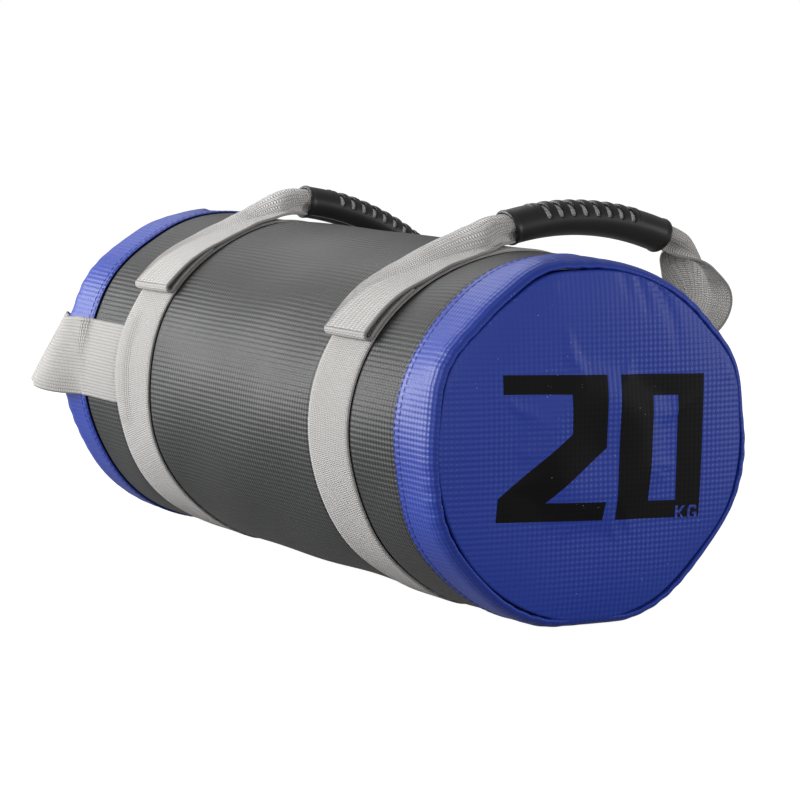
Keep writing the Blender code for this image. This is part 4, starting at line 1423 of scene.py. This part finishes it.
def add_floor():
    """Plain pale floor that keeps the bag's shadow and looks white."""
    mesh = bpy.data.meshes.new("floor")
    corners = [(x * floor_half, y * floor_half, 0) for x, y in ((-1, -1), (1, -1), (1, 1), (-1, 1))]
    mesh.from_pydata(corners, [], [(0, 1, 2, 3)])
    floor = linked("floor", mesh)
    material = bpy.data.materials.new("floor_white")
    material.use_nodes = True
    tree = material.node_tree
    tree.nodes.remove(tree.nodes["Principled BSDF"])
    matte = add_node(tree, "ShaderNodeBsdfDiffuse", {"Color": (floor_grey, floor_grey, floor_grey, 1)})
    strength = maths(tree, "MULTIPLY", seen_white(tree), floor_glow)
    glow = add_node(tree, "ShaderNodeEmission", {"Color": WHITE, "Strength": strength})
    both = add_node(tree, "ShaderNodeAddShader", {0: matte.outputs[0], 1: glow.outputs[0]})
    tree.links.new(both.outputs[0], tree.nodes["Material Output"].inputs["Surface"])
    mesh.materials.append(material)


bpy.context.scene.view_settings.view_transform = "Standard"
add_camera()
add_world()
add_floor()
for lamp in LAMPS:
    add_lamp(*lamp)

# Materials of the pieces
cover_cloth = pvc_material("cover_cloth", (0.030, 0.031, 0.031), (0.040, 0.041, 0.041),
                           roughness=0.42, emboss=0.34 * MM, specular=0.18, least=0.6)
blue_cloth = pvc_material("blue_cloth", (0.017, 0.043, 0.31), (0.023, 0.053, 0.36),
                          roughness=0.42, emboss=0.2 * MM, specular=0.28, least=0.1)
ink_print = pvc_material("ink_print", (0.002, 0.002, 0.0025), (0.004, 0.004, 0.005),
                         roughness=0.5, emboss=0.05 * MM, specular=0.1, least=0.0)
webbing = webbing_material()
rubber = rubber_material()
thread = plain_material("blue_thread", (0.02, 0.035, 0.2), (0.03, 0.05, 0.26), 0.7, 900.0, 0.05 * MM)
FOAM = ((0.7, 0.7, 0.67), (0.78, 0.78, 0.75), 0.9, 400.0, 0.3 * MM)

# Bag
cover = make_cover()
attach(cover, "bag")
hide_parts("cover_tube")
paint(cover, cover_cloth)
foam = make_foam()
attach(foam, "bag")
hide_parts("foam_wrap")
paint(foam, plain_material("foam_finish", *FOAM))
stitches = stitch_tree(thread)
for side, name in END_NAMES.items():
    band = make_band(side)
    disc = make_disc(side)
    for piece, node in ((band, "band"), (disc, "disc")):
        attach(piece, "bag")
        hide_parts(f"{name}_end_{node}")
        paint(piece, blue_cloth)
    if side > 0:
        digits = draped("weight_digits", [TWO, *zero_outlines()], disc, ink_lift, digit_square)
        unit = draped("weight_unit", [*UNIT_K, *UNIT_G], disc, ink_lift + 2 * ink_thickness, unit_square)
        for piece, material in ((digits, ink_print), (unit, blue_cloth)):
            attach(piece, "bag")
            paint(piece, material)
    paint(make_hoop(side), webbing)
    band_stitches(side, *stitches)

# Handles and end strap
for handle, table, contact, turn, bow, twist in (
        (NEAR, NEAR_ROLL, NEAR_CONTACT, 50, NEAR_BOW, 18), (FAR, FAR_ROLL, FAR_CONTACT, 22, FAR_BOW, 12)):
    for piece in (make_tail(handle, "front", 0), make_tail(handle, "back", turn),
                  make_front_leg(handle, table, contact), make_back_leg(handle, turn, bow, twist)):
        paint(piece, webbing)
    paint(make_grip(handle), rubber)
paint(make_end_strap(), webbing)

# Filling
for node, *finish in (
        ("near_foam_disc", *FOAM), ("far_foam_disc", *FOAM),
        ("inner_sack", (0.5, 0.5, 0.47), (0.58, 0.58, 0.55), 0.7, 300.0, 0.3 * MM),
        ("sack_tie", (0.04, 0.04, 0.04), (0.06, 0.06, 0.06), 0.5, 500.0, 0.05 * MM),
        ("sand_fill", (0.36, 0.28, 0.18), (0.52, 0.42, 0.28), 0.95, 900.0, 0.5 * MM)):
    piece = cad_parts[node]
    piece.data.materials.clear()
    piece.data.materials.append(plain_material(node + "_finish", *finish))
